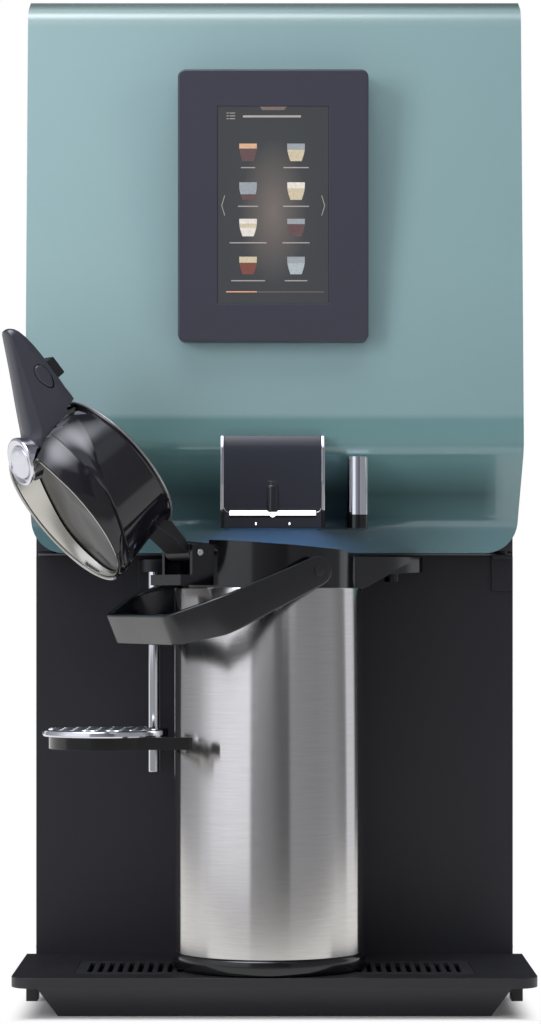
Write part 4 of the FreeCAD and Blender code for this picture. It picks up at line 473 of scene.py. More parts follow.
def dress(piece: Piece, finish: Finish, body: str, slot: str, *stands_for: str) -> None:
    """Give a piece its finish and its body, and hide the CAD nodes it stands for.

    Args:
        piece: The piece.
        finish: Its surface finish.
        body: The CAD body it moves with.
        slot: The record's material slot of the CAD node; not used.
        stands_for: CAD nodes it stands for.
    """
    piece.data.materials.clear()
    piece.data.materials.append(material_of(finish))
    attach(piece, body)
    if stands_for:
        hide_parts(*stands_for)
    LOG.info("%s rides on %s", piece.name, body)


def lathe(name: str, profile: Outline, steps: int = 128) -> Piece:
    """A closed solid of revolution about Z.

    Args:
        name: The piece's name.
        profile: Radius and height of each corner, going round the section.
        steps: Segments round the axis.

    Returns:
        The new object.
    """
    shape = bmesh.new()
    turns = [2 * math.pi * step / steps for step in range(steps)]
    rings = [[shape.verts.new((radius * math.cos(turn), radius * math.sin(turn), height))
              for turn in (turns if radius > 1e-7 else [0.0])] for radius, height in profile]
    pairs = list(zip(rings, rings[1:]))
    if len(rings[0]) > 1 and len(rings[-1]) > 1:
        pairs.append((rings[-1], rings[0]))
    for low, high in pairs:
        for step in range(steps):
            corners = [ring[number % len(ring)] for ring, number in
                       ((low, step), (low, step + 1), (high, step + 1), (high, step))]
            unique = list(dict.fromkeys(corners))
            if len(unique) > 2:
                shape.faces.new(unique)
    return from_bmesh(name, shape)


def lathe_section(*runs: tuple[float, float, Outline]) -> list[Flat]:
    """Corners of a lathe's section, in metres.

    Args:
        runs: For each run of corners its radius and height, and how far out and up they lie, in millimetres.

    Returns:
        Radius and height of all the corners.
    """
    return [(radius + out * MM, height + up * MM) for radius, height, steps in runs for out, up in steps]


def loft(name: str, rings: Sequence[Sequence[Point]], closed: bool = False, crease: float = 35.0) -> Piece:
    """A closed solid through rings of equally many points.

    Args:
        name: The piece's name.
        rings: The rings, from one end to the other.
        closed: True joins the last ring to the first, as in a hoop.
        crease: Edges with a larger angle stay sharp, in degrees.

    Returns:
        The new object.
    """
    shape = bmesh.new()
    made = [[shape.verts.new(point) for point in ring] for ring in rings]
    pairs = list(zip(made, made[1:])) + ([(made[-1], made[0])] if closed else [])
    for low, high in pairs:
        for step in range(len(low)):
            ahead = (step + 1) % len(low)
            shape.faces.new([low[step], low[ahead], high[ahead], high[step]])
    if not closed:
        shape.faces.new(made[0])
        shape.faces.new(made[-1])
    return from_bmesh(name, shape, crease)


def slab(name: str, outline: Outline, near: float, far: float) -> Piece:
    """A flat plate standing in the XZ plane, from one Y to another."""
    return loft(name, [[(x, y, z) for x, z in outline] for y in (near, far)])


def carved(name: str, piece: Piece, cutter: Piece) -> Piece:
    """Cut one piece out of another; both are used up.

    Args:
        name: The new piece's name.
        piece: The piece to cut.
        cutter: The shape taken away.

    Returns:
        The new piece.
    """
    cut = piece.modifiers.new("cut", "BOOLEAN")
    cut.operation = "DIFFERENCE"
    cut.object = cutter
    cut.solver = "EXACT"
    mesh = evaluated(piece)
    bpy.data.objects.remove(piece)
    bpy.data.objects.remove(cutter)
    return as_object(name, mesh)


def wire(name: str, points: Sequence[Point], radius: float, loop: bool = False) -> Piece:
    """A round wire along points, as a mesh.

    Args:
        name: The piece's name.
        points: The wire's middle line.
        radius: The wire's radius.
        loop: True joins its ends.

    Returns:
        The new object.
    """
    curve = bpy.data.curves.new(name, "CURVE")
    curve.dimensions = "3D"
    curve.bevel_depth = radius
    curve.bevel_resolution = 3
    curve.use_fill_caps = True
    spline = curve.splines.new("POLY")
    spline.points.add(len(points) - 1)
    for target, point in zip(spline.points, points):
        target.co = (*point, 1)
    spline.use_cyclic_u = loop
    holder = as_object(name, curve)
    mesh = evaluated(holder)
    bpy.data.objects.remove(holder)
    for polygon in mesh.polygons:
        polygon.use_smooth = True
    return as_object(name, mesh)


def joined(name: str, parts: Sequence[Piece]) -> Piece:
    """Join objects into one mesh.

    Args:
        name: The piece's name.
        parts: The objects, removed here.

    Returns:
        The new object.
    """
    shape = bmesh.new()
    for part in parts:
        shape.from_mesh(evaluated(part) if part.modifiers else part.data)
        bpy.data.objects.remove(part)
    mesh = bpy.data.meshes.new(name)
    shape.to_mesh(mesh)
    shape.free()
    return as_object(name, mesh)


def moved(piece: Piece, place: Matrix) -> Piece:
    """Move a piece's mesh, and give the same piece back."""
    piece.data.transform(place)
    return piece


def arc(centre: Flat, radius: float, start: float, end: float, steps: int) -> list[Flat]:
    """Points on an arc, from one angle to another, in degrees."""
    turns = [math.radians(start + (end - start) * step / steps) for step in range(steps + 1)]
    return [(centre[0] + radius * math.cos(turn), centre[1] + radius * math.sin(turn)) for turn in turns]


def rounded_box(x0: float, x1: float, z0: float, z1: float, radius: float, steps: int = 6) -> list[Flat]:
    """Outline of a rectangle with round corners."""
    x0, x1, z0, z1 = x0 + radius, x1 - radius, z0 + radius, z1 - radius
    return [point for quarter, corner in enumerate(((x1, z1), (x0, z1), (x0, z0), (x1, z0)))
            for point in arc(corner, radius, 90 * quarter, 90 * quarter + 90, steps)]


def screw(place: Point, out: Point, radius: float = 0.0035) -> Piece:
    """A domed screw head with a recess.

    Args:
        place: Where its seat is.
        out: The direction it faces.
        radius: The head's radius.

    Returns:
        The new object.
    """
    shares = ((1, 0.25), (0.8, 0.5), (0.4, 0.62), (0.16, 0.62), (0.1, 0.3), (0, 0.3))
    seat = [(0, -0.2 * MM), (radius, -0.2 * MM)]
    head = lathe("screw", seat + [(radius * across, radius * up) for across, up in shares], 24)
    turn = Vector((0, 0, 1)).rotation_difference(Vector(out)).to_matrix().to_4x4()
    return moved(head, Matrix.Translation(place) @ turn)


@dataclass(frozen=True)
class Copy:
    """How a CAD node is shown: its finish and the rounding of its edges."""

    node: str
    finish: Finish
    radius: float = 0.0005
    steps: int = 2
    crease: float = 32.0

    def show(self) -> None:
        """A copy of the node with its edges rounded and its finish on, standing for the node."""
        shape = bmesh.new()
        shape.from_mesh(frame["nodes"][self.node].data)
        bmesh.ops.remove_doubles(shape, verts=shape.verts, dist=0.000002)
        bmesh.ops.dissolve_limit(shape, angle_limit=math.radians(0.4), verts=shape.verts, edges=shape.edges)
        piece = from_bmesh(self.node + "_dressed", shape, self.crease)
        round_edges(piece, self.radius, self.steps, self.crease)
        dress(piece, self.finish, BODY_OF[self.node], SLOT_OF[self.node], self.node)


Copies = tuple[Copy, ...]


@dataclass
class Assembly:
    """A sub-assembly: CAD nodes with their looks, and pieces of its own."""

    copies: Copies = ()

    def build(self) -> None:
        """Show the CAD nodes, then the pieces of its own."""
        for copy in self.copies:
            copy.show()
        self.own_pieces()

    def own_pieces(self) -> None:
        """None, where the CAD nodes say everything."""


@dataclass
class Cabinet(Assembly):
    """The sheet cabinet with its feet, pans, covers and fasteners."""

    copies: Copies = (
        *(Copy(node, BLACK_SHEET, 0.0006, 3)
          for node in ("side_panel_left", "side_panel_right", "rear_top_cover", "lower_front_panel")),
        *(Copy(node, ZINC_SHEET, 0.0004) for node in ("base_pan", "deck", "canister_shelf")),
        Copy("rubber_feet", FOOT_RUBBER, 0.001, 3), Copy("front_brackets", BLACK_SHEET))
    back: float = 0.255
    screw_rows: tuple[float, ...] = (0.04, 0.22, 0.4, 0.58, 0.738)
    screw_column: float = 0.18
    inner_column: float = 0.06
    inner_rows: Flat = (0.745, 0.03)
    side_screws: tuple[float, ...] = (-0.06, 0.09, 0.235)
    side_screw_height: float = 0.034
    small_screw: float = 0.003
    fan: Flat = (0.11, 0.65)
    fan_radius: float = 0.038
    guard_rings: tuple[float, ...] = (0.3, 0.55, 0.8, 1.04)
    guard_reach: float = 1.18
    guard_gap: float = 0.0022
    ring_wire: float = 0.0009
    spoke_wire: float = 0.0011

    def own_pieces(self) -> None:
        """The fasteners and the fan's guard."""
        self.fasteners()
        self.fan_guard()

    def fasteners(self) -> None:
        """Screws round the rear cover and along the side panels' lower edges."""
        places = [(x, z) for z in self.screw_rows for x in (-self.screw_column, self.screw_column)]
        places += [(x, z) for x in (-self.inner_column, self.inner_column) for z in self.inner_rows]
        heads = [screw((x, self.back, z), (0, 1, 0)) for x, z in places]
        dress(joined("rear_screws", heads), DARK_METAL, "cabinet", "zinc_sheet")
        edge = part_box("side_panel_right")[1].x
        for name, side in (("left_side_screws", -1), ("right_side_screws", 1)):
            heads = [screw((side * edge, y, self.side_screw_height), (side, 0, 0), self.small_screw)
                     for y in self.side_screws]
            dress(joined(name, heads), DARK_METAL, "cabinet", "zinc_sheet")

    def fan_guard(self) -> None:
        """Wire guard over the fan's opening in the back."""
        y = self.back + self.guard_gap
        behind = y - 0.0012
        parts = []
        for share in self.guard_rings:
            circle_line = arc(self.fan, self.fan_radius * share, 0, 360, 48)[:-1]
            parts.append(wire("ring", [(x, y, z) for x, z in circle_line], self.ring_wire, True))
        for turn in (45, 135, 225, 315):
            hub, end = (arc(self.fan, self.fan_radius * share, turn, turn, 1)[0]
                        for share in (self.guard_rings[0], self.guard_reach))
            parts.append(wire("spoke", [(hub[0], behind, hub[1]), (end[0], behind, end[1])], self.spoke_wire))
            parts.append(screw((end[0], self.back, end[1]), (0, 1, 0), self.small_screw))
        dress(joined("fan_guard", parts), CHROME, "cabinet", "motor")


INSIDES = Assembly((
    *(Copy(node, finish, 0.0004) for node, finish in (
        ("drive_motors", MOTOR_PAINT), ("mixer_bowls", WHITE_PLASTIC), ("outlet_hoses", SILICONE),
        ("water_valves", BRASS), ("boiler", TANK_STEEL), ("power_supply", ZINC_SHEET),
        ("control_board", BOARD_GREEN), ("fan_housing", CASING_PLASTIC), ("power_inlet", CASING_PLASTIC),
        ("fan_rotor", CASING_PLASTIC))),
    *(Copy(f"{kind}_{index}", *looks) for kind, *looks in (
        ("canister", SMOKED_CLEAR, 0.0012, 3), ("canister_lid", WHITE_PLASTIC, 0.0008, 3),
        ("auger", WHITE_PLASTIC, 0.0003), ("impeller", WHITE_PLASTIC, 0.0003)) for index in (1, 2, 3))))
DOOR = Assembly((Copy("door_casing", CASING_PLASTIC, 0.0006), Copy("door_panel", PANEL, 0.0012, 3),
                 Copy("door_lock", CHROME, 0.0003)))
DRIP_TRAY = Assembly((Copy("drip_tray", TRAY_PLASTIC, 0.0012, 3), Copy("drip_grill", GRILL_PLASTIC, 0.0004),
                      Copy("tray_float", WHITE_PLASTIC, 0.001, 3)))

CUP_LAYERS = {"dark": tone(92, 72, 74), "milk": tone(186, 174, 150), "foam": tone(206, 200, 190),
              "cream": tone(196, 158, 128), "glass": tone(140, 146, 150), "cocoa": tone(112, 70, 62),
              "water": tone(158, 166, 170)}
CUP_RECIPES = ((("dark", 0, .72), ("cream", .72, 1)), (("milk", 0, .65), ("glass", .65, 1)),
               (("dark", 0, .32), ("glass", .32, 1)), (("milk", 0, .66), ("foam", .66, 1)),
               (("foam", 0, .5), ("milk", .5, .72), ("foam", .72, 1)), (("dark", 0, .7), ("glass", .7, 1)),
               (("cocoa", 0, .66), ("milk", .66, 1)), (("water", 0, .62), ("glass", .62, 1)))


@dataclass
class TouchScreen(Assembly):
    """The screen module: bezel, glass and the picture with its plain cup shapes; sizes in millimetres."""

    copies: Copies = (Copy("screen_housing", BEZEL_PLASTIC, 0.0008, 3),
                      Copy("display_unit", CASING_PLASTIC, 0.0004))
    columns: Flat = (-20.5, 16.7)
    rows: tuple[float, ...] = (663.7, 633.7, 605.4, 576.0)
    captions: tuple[float, ...] = (11.0, 19.5, 15.5, 20.0, 28.5, 21.0, 26.2, 17.5)
    caption_drop: float = 11.8
    caption_half: float = 0.4
    top_bars: Rows = ((-24.5, 20.5, 690.8, 692.4), (-38.5, -31.0, 700.5, 701.2), (33.5, 39.5, 700.5, 701.2))
    menu_columns: Table = ((-37.2, -35.5), (-34.8, -30.5))
    menu_rows: tuple[float, ...] = (689.5, 691.7, 693.9)
    menu_stroke: float = 0.6
    arrows: Flat = (-1.0, 622.5)
    arrow_side: float = 37.8
    arrow_depth: float = 2.4
    arrow_rise: float = 7.8
    arrow_stroke: float = 0.5
    step_bar: tuple[float, ...] = (-37.5, -13.5, 555.2, 556.0)
    rest_bar: tuple[float, ...] = (-12.8, 38.5, 555.2, 555.8)
    tab: Outline = ((-11.5, 699.2), (9.5, 699.2), (7.5, 696.5), (-9.5, 696.5))
    cup_height: float = 13.6
    cup_foot: float = 4.3
    cup_swell: float = 2.5
    front: float = field(init=False, default=0.0)

    def own_pieces(self) -> None:
        """The pane with its marks and cups."""
        low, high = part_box("screen_glass")
        pane = slab("screen_pane", rounded_box(low.x, high.x, low.z, high.z, 0.0006), low.y, high.y)
        dress(round_edges(pane, 0.0002), SCREEN, "door", "screen", "screen_glass")
        self.front = low.y
        self.marks()
        self.cups()

    def flat(self, name: str, outline: Outline) -> Piece:
        """A thin shape lying on the pane."""
        return slab(name, [mm(*corner) for corner in outline], self.front - 0.08 * MM, self.front + 0.02 * MM)

    def bar(self, x0: float, x1: float, z0: float, z1: float, name: str = "bar") -> Piece:
        """A thin bar lying on the pane."""
        return self.flat(name, [(x0, z0), (x1, z0), (x1, z1), (x0, z1)])

    def lit(self, piece: Piece, finish: str, colour: Colour, power: float, shade: float = 0.9,
            grain: float = 400.0) -> None:
        """Let a shape on the pane glow."""
        dress(piece, Lit("screen " + finish, colour, shade, grain=grain, power=power), "door", "screen")

    def marks(self) -> None:
        """Caption bars, menu lines, arrows, the top tab and the line at the bottom."""
        parts = [self.bar(*bar) for bar in self.top_bars]
        parts += [self.bar(*ends, z, z + self.menu_stroke)
                  for z in self.menu_rows for ends in self.menu_columns]
        for index, width in enumerate(self.captions):
            x, z = self.columns[index % 2], self.rows[index // 2] - self.caption_drop
            parts.append(self.bar(x - width / 2, x + width / 2, z - self.caption_half, z + self.caption_half))
        for side in (-1, 1):
            x, z = self.arrows[0] + side * self.arrow_side, self.arrows[1]
            tip, inward = x + side * self.arrow_depth, side * self.arrow_stroke
            for rise in (-self.arrow_rise, self.arrow_rise):
                wing = [(tip, z), (tip - inward, z), (x - inward, z + rise), (x, z + rise)]
                parts.append(self.flat("arrow", wing))
        self.lit(joined("screen_marks", parts), "marks", tone(158, 152, 148), 0.4, 0.95)
        self.lit(self.bar(*self.step_bar, "screen_step"), "orange", tone(206, 148, 118), 0.7)
        rest = joined("screen_tab", [self.bar(*self.rest_bar), self.flat("tab", self.tab)])
        self.lit(rest, "brown", tone(104, 92, 88), 0.6)

    def cup_outline(self, x: float, z: float, low: float, high: float) -> list[Flat]:
        """Outline of a cup's part between two heights.

        Args:
            x: The cup's middle.
            z: Its middle height.
            low: The part's foot, as a share of the cup.
            high: The part's top, as a share of the cup.

        Returns:
            The outline's corners.
        """
        sides = []
        for share in (low + (high - low) * step / 8 for step in range(9)):
            half = self.cup_foot + self.cup_swell * min(1.0, math.sin(math.pi / 2 * min(1.0, share * 1.25)))
            sides.append((half, z + self.cup_height * (share - 0.5)))
        return [(x + half, up) for half, up in sides] + [(x - half, up) for half, up in reversed(sides)]

    def cups(self) -> None:
        """Two columns of small cups, each with its own layers of drink."""
        parts: dict[str, list[Piece]] = {}
        for index, recipe in enumerate(CUP_RECIPES):
            x, z = self.columns[index % 2], self.rows[index // 2]
            for layer, low, high in recipe:
                parts.setdefault(layer, []).append(self.flat("layer", self.cup_outline(x, z, low, high)))
        for layer, shapes in parts.items():
            self.lit(joined("screen_cups_" + layer, shapes), layer, CUP_LAYERS[layer], 0.5, 0.8, 700.0)


@dataclass
class Outlet(Assembly):
    """The lit drink outlet and the hot water tap beside it; sizes in millimetres."""

    copies: Copies = (
        Copy("outlet_cover", OUTLET_FACE, 0.0012, 3), Copy("outlet_manifold", WHITE_PLASTIC, 0.0006),
        Copy("hot_water_tap", CHROME, 0.001, 3), Copy("tap_foot", GLOSS_BLACK))
    middle: float = -1.4
    face: float = -195.0
    frame: float = 3.0
    frame_foot: float = 385.2
    corner_line: float = 3.4
    light: Flat = (382.3, 385.9)
    light_half: float = 33.3
    ridge_half: float = 4.7
    ridge_top: float = 407.2
    ridge_tip: float = 0.4
    ridge_flatness: float = 0.62
    lens_radius: float = 2.3
    lens_rise: float = 1.2
    spot_side: float = 13.0
    spot_height: float = 375.7
    spot_profile: Outline = ((0, 0), (0.55, 0), (0.45, 0.3), (0, 0.4))
    pad_sides: Flat = (18.0, 33.0)
    pad_heights: Flat = (375.6, 376.4)
    pad_depths: Flat = (3.0, 34.0)

    def own_pieces(self) -> None:
        """The frames, the lights and the ridge."""
        self.frames()
        self.light_line()
        self.lens_and_spots()
        self.cool_pads()
        self.ridge()

    def frames(self) -> None:
        """Chrome frames down both sides, their black feet and the thin line round their lower corners."""
        low, high = (corner * 1000 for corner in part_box("outlet_frames"))
        face, foot, back = self.face, self.frame_foot, high.y
        side_view = [(face, foot + 2), (face + 0.5, foot + 0.6), (face + 2, foot), (back, foot),
                     (back, high.z), (face + 5, high.z), (face + 1.2, high.z - 7.6), (face, high.z - 11)]
        foot_view = [(face + 0.3, low.z), (back, low.z), (back, foot), (face + 0.3, foot)]
        bend, line_z = self.corner_line, self.light[1] - 1.4
        chrome, feet, lines = [], [], []
        for side, outer in ((-1, low.x), (1, high.x)):
            inner = outer - side * self.frame
            frame_piece = loft("frame", [[mm(x, y, z) for y, z in side_view] for x in (inner, outer)])
            chrome.append(round_edges(frame_piece, 0.0009, 3))
            sides = (inner, outer - side * 0.2)
            feet.append(loft("foot", [[mm(x, y, z) for y, z in foot_view] for x in sides]))
            corner = arc((inner - side * (0.2 + bend), line_z + bend), bend, 270, 270 + side * 90, 10)
            lines.append(wire("line", [mm(x, face - 0.1, z) for x, z in corner], 0.00032))
        dress(joined("outlet_side_frames", chrome), CHROME, "door", "chrome", "outlet_frames")
        dress(round_edges(joined("outlet_frame_feet", feet), 0.0005), GLOSS_BLACK, "door", "gloss_black")
        dress(joined("outlet_corner_lines", lines), CHROME, "door", "chrome")

    def strip(self, name: str, wider: float, heights: Flat, radius: float, depths: Flat) -> Piece:
        """A bar along the light line.

        Args:
            name: The piece's name.
            wider: How far it goes past the light at each end.
            heights: Its lower and upper edge, counted from the light's lower edge.
            radius: The radius of its corners.
            depths: Its front and back, counted from the outlet's face.

        Returns:
            The new object.
        """
        half = self.light_half + wider
        low, high = (self.light[0] + height for height in heights)
        outline = rounded_box(self.middle - half, self.middle + half, low, high, radius)
        return slab(name, [mm(*corner) for corner in outline], *mm(*(self.face + depth for depth in depths)))

    def light_line(self) -> None:
        """The light line, the slot it shines through and the black sill under it."""
        tall = self.light[1] - self.light[0]
        line = self.strip("bar", 0, (0, tall), 0.6, (-0.3, 0.6))
        slot = self.strip("slot", 0, (-1, tall - 1.6), 0.2, (0, 1.5))
        dress(joined("outlet_light_line", [line, slot]), LED, "door", "light", "outlet_light")
        sill = self.strip("outlet_light_sill", 0.6, (-1.9, 0), 0.4, (-0.35, 0.3))
        dress(round_edges(sill, 0.0002), GLOSS_BLACK, "door", "gloss_black")

    def lens_and_spots(self) -> None:
        """The lens in the light's middle and the two pin lights."""
        turn = Matrix.Rotation(math.radians(90), 4, "X")
        radius = self.lens_radius
        dome = [(across * radius, up * self.lens_rise) for across, up in arc((0, 0), 1, 0, 90, 6)]
        seat = [mm(0, -0.4), mm(radius, -0.4)]
        lens = lathe("outlet_lens", seat + [mm(*corner) for corner in dome], 32)
        moved(lens, Matrix.Translation(mm(self.middle, self.face - 0.2, self.light[0] + 0.7)) @ turn)
        dress(lens, LED, "door", "light")
        turn = turn @ Matrix.Diagonal((1, 2.0, 1, 1))
        spots = []
        for side in (-1, 1):
            place = mm(self.middle + side * self.spot_side, self.face, self.spot_height)
            spot = lathe("spot", [mm(*corner) for corner in self.spot_profile], 16)
            spots.append(moved(spot, Matrix.Translation(place) @ turn))
        dress(joined("outlet_spots", spots), LED, "door", "light")

    def cool_pads(self) -> None:
        """Two cool light pads under the cover."""
        low, high = self.pad_heights
        pads = []
        for side in (-1, 1):
            near, far = (self.middle + side * reach for reach in self.pad_sides)
            outline = [mm(near, low), mm(far, low), mm(far, high), mm(near, high)]
            pads.append(slab("pad", outline, *mm(*(self.face + depth for depth in self.pad_depths))))
        dress(joined("outlet_cool_pads", pads), LED_BLUE, "door", "light")

    def ridge(self) -> None:
        """The rounded upright ridge over the lens."""
        full, top, back = self.ridge_half, self.ridge_top, self.face + 1.2
        stages = [(full, self.light[1] - 0.4), (full, top - full)]
        for turn in (math.radians(90 * step / 8) for step in range(2, 9)):
            stages.append((max(full * math.cos(turn), self.ridge_tip), top - full * (1 - math.sin(turn))))
        rings = [[mm(self.middle + x, self.face + 0.6 - y * self.ridge_flatness, z)
                  for x, y in arc((0, 0), half, 0, 180, 20)]
                 + [mm(self.middle - half, back, z), mm(self.middle + half, back, z)] for half, z in stages]
        dress(loft("outlet_ridge", rings), RIDGE_PLASTIC, "door", "gloss_black")


@dataclass
class CupHolder(Assembly):
    """The hanging rod and the swivelling tray with its rim and wire grid."""

    copies: Copies = (Copy("cup_rod", CHROME, 0.0008, 3), Copy("cup_tray", GLOSS_BLACK, 0.0008, 3))
    middle: Flat = (-0.131, -0.225)
    rim_radius: float = 0.046
    rim_section: Outline = ((-6, 0), (-0.8, 0), (0, 0.9), (0, 3.4), (-0.6, 4.4), (-2, 5), (-5.2, 5),
                            (-6, 4.3))
    wires: int = 9
    wire_pitch: float = 0.0088
    wire_radius: float = 0.0011
    wire_drop: float = 0.0024
    wave: float = 0.0016
    wave_length: float = 0.018
    bars: tuple[float, ...] = (-0.024, 0.0, 0.024)
    bar_radius: float = 0.001
    bar_drop: float = 0.0036

    def own_pieces(self) -> None:
        """The rim and its grid of waved wires over straight bars."""
        x, y = self.middle
        low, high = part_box("cup_rim")
        rim = lathe("cup_ring", lathe_section((self.rim_radius, low.z, self.rim_section)))
        rim.location = (x, y, 0)
        dress(rim, CHROME, "cup_holder", "chrome", "cup_rim")
        reach = self.rim_radius - 0.0046
        grid = []
        for number in range(self.wires):
            across = (number - (self.wires - 1) / 2) * self.wire_pitch
            half = math.sqrt(reach * reach - across * across)
            line = []
            for along in (-half + 2 * half * step / 40 for step in range(41)):
                wave = self.wave * math.sin(along * 2 * math.pi / self.wave_length + number * math.pi)
                line.append((x + along, y + across + wave, high.z - self.wire_drop))
            grid.append(wire("wire", line, self.wire_radius))
        for along in self.bars:
            half = math.sqrt(reach * reach - along * along)
            ends = [(x + along, y + side * half, high.z - self.bar_drop) for side in (-1, 1)]
            grid.append(wire("wire", ends, self.bar_radius))
        dress(joined("cup_grid", grid), CHROME, "cup_holder", "chrome")


@dataclass
class Flask(Assembly):
    """The steel flask: base, shell, collar, liner and bail; the bail's sizes in millimetres."""

    copies: Copies = (Copy("flask_liner", TANK_STEEL, 0.0004), Copy("flask_collar", GLOSS_BLACK, 0.0012, 3),
                      Copy("lid_hinge_pin", CHROME, 0.0003))
    x: float = -0.004
    y: float = -0.179
    turn: float = 28.0
    radius: float = 0.074
    foot: float = 0.031
    waist: float = 0.044
    shoulder: float = 0.326
    shell_foot: Outline = ((-1.2, 0), (-0.3, 0), (0, 0.4))
    shell_top: Outline = ((0, -0.6), (-0.4, 0), (-1.2, 0))
    base_overhang: float = 0.00115
    base_foot: Outline = ((-3, 0), (-1.2, 0.6), (-0.3, 1.6), (0, 3.2))
    base_top: Outline = ((0, -2.6), (-0.3, -1.4), (-1, -0.5), (-2.2, -0.1))
    base_lap: Outline = ((-1.3, 0), (-1.3, 6))
    bail_pivot: float = 0.3387
    bail_drop: float = 22.0
    bail_half: float = 78.0
    bail_reach: float = 118.5
    bail_corner: float = 84.0
    bail_grip: float = 52.5
    bail_stations: tuple[float, ...] = (11.2, 10, 8, 5, 0, -20, -45, -66)
    bail_bends: Flat = (12.0, 7.0)
    bail_eye: float = 11.3
    bail_flare: tuple[float, float, float] = (88.0, 4.7, 1.7)
    bail_tail: tuple[float, float, float] = (31.0, 4.0, 1.0)
    bail_thickness: float = 5.0
    stud_side: float = 81.0

    def place(self) -> Matrix:
        """From the flask's own frame, spout along +X, to the row frame."""
        return Matrix.Translation((self.x, self.y, 0)) @ Matrix.Rotation(math.radians(self.turn), 4, "Z")

    def own_pieces(self) -> None:
        """The shell, the base and the bail with its studs."""
        radius, out = self.radius, self.radius + self.base_overhang
        foot, waist = self.foot, self.waist
        wall = lathe_section((radius, waist, self.shell_foot), (radius, self.shoulder, self.shell_top))
        cup = lathe_section((out, foot, self.base_foot), (out, waist, self.base_top),
                            (radius, waist, self.base_lap))
        shell = lathe("flask_steel", wall, 192)
        base = lathe("flask_foot", [(0, foot), *cup, (0, cup[-1][1])], 160)
        shell.location = base.location = (self.x, self.y, 0)
        dress(shell, STEEL, "flask", "steel", "flask_shell")
        dress(base, GLOSS_BLACK, "flask", "gloss_black", "flask_base")
        self.bail()
        self.studs()

    def bail(self) -> None:
        """The wide strap handle, with soft corners and round ends."""
        side, reach = self.bail_half, -self.bail_reach
        corner, grip = (-self.bail_corner, side), (reach, self.bail_grip)
        wide, tight = self.bail_bends
        route = [(u, side) for u in self.bail_stations]
        route += self.bend((-60.0, side), corner, grip, wide) + self.bend(corner, grip, (reach, 0.0), tight)
        route += [(reach, 28.0), (reach, 0.0)]
        route += [(u, -v) for u, v in reversed(route[:-1])]
        half = self.bail_thickness / 2
        rings = []
        for index, (u, v) in enumerate(route):
            before, after = route[max(index - 1, 0)], route[min(index + 1, len(route) - 1)]
            run = Vector((after[0] - before[0], after[1] - before[1])).normalized()
            low, high = self.bail_edges(u)
            rings.append([mm(u - run.y * across, v + run.x * across, along) for across, along in
                          rounded_box(-half, half, low, high, min(1.5, (high - low) / 3), 4)])
        drop = Matrix.Rotation(math.radians(-self.bail_drop), 4, "Y")
        pivot = self.place() @ Matrix.Translation((0, 0, self.bail_pivot))
        strap = moved(loft("bail_strap", rings), pivot @ drop)
        dress(strap, BAIL_PLASTIC, "bail", "black_plastic", "bail_handle")

    def studs(self) -> None:
        """Flat studs on the ends of the bail's pivot."""
        caps = []
        for side in (-1, 1):
            cap = lathe("stud", [mm(0, 0), mm(4.0, 0), mm(4.0, 0.1), mm(3.7, 0.25), mm(0, 0.3)], 32)
            turn = Matrix.Rotation(math.radians(-90 * side), 4, "X")
            end = self.place() @ Matrix.Translation((0, side * self.stud_side * MM, self.bail_pivot))
            caps.append(moved(cap, end @ turn))
        dress(joined("bail_studs", caps), MATT_BLACK, "flask", "gloss_black")

    def bend(self, before: Flat, corner: Flat, after: Flat, reach: float) -> list[Flat]:
        """A soft corner between two straight runs.

        Args:
            before: A point on the first run.
            corner: Where the runs would meet.
            after: A point on the second run.
            reach: How far from the corner the bend starts.

        Returns:
            Points along the bend.
        """
        middle = Vector(corner)
        first, last = (middle + (Vector(end) - middle).normalized() * reach for end in (before, after))
        shares = [step / 8 for step in range(9)]
        return [tuple(first * (1 - s) ** 2 + middle * 2 * s * (1 - s) + last * s ** 2) for s in shares]

    def bail_edges(self, u: float) -> Flat:
        """Lower and upper edge of the strap.

        Args:
            u: Distance from the pivot along the flask, in millimetres.

        Returns:
            Both heights, counted from the pivot.
        """
        eye = self.bail_eye
        if u > 0:
            round_half = math.sqrt(max(eye ** 2 - u ** 2, 1.0))
            return -round_half, round_half
        (run, lower, higher), (tail_run, lift, drop) = self.bail_flare, self.bail_tail
        share, tail = min(1.0, -u / run), max(0.0, (-u - run) / tail_run)
        return -eye - lower * share + lift * tail, eye + higher * share - drop * tail


def read_off(table: Table, at: float) -> float:
    """Value of a smooth curve through a table's points.

    Args:
        table: Pairs of position and value, in rising order.
        at: The position.

    Returns:
        The value there, level beyond both ends.
    """
    if at <= table[0][0]:
        return table[0][1]
    if at >= table[-1][0]:
        return table[-1][1]
    inner = ((high[1] - low[1]) / (high[0] - low[0]) for low, high in zip(table, table[2:]))
    slopes = [0.0, *inner, 0.0]
    index = next(place for place in range(len(table) - 1) if at < table[place + 1][0])
    (x0, y0), (x1, y1) = table[index], table[index + 1]
    span = x1 - x0
    t = (at - x0) / span
    return ((2 * t ** 3 - 3 * t ** 2 + 1) * y0 + (t ** 3 - 2 * t ** 2 + t) * span * slopes[index]
            + (3 * t ** 2 - 2 * t ** 3) * y1 + (t ** 3 - t ** 2) * span * slopes[index + 1])


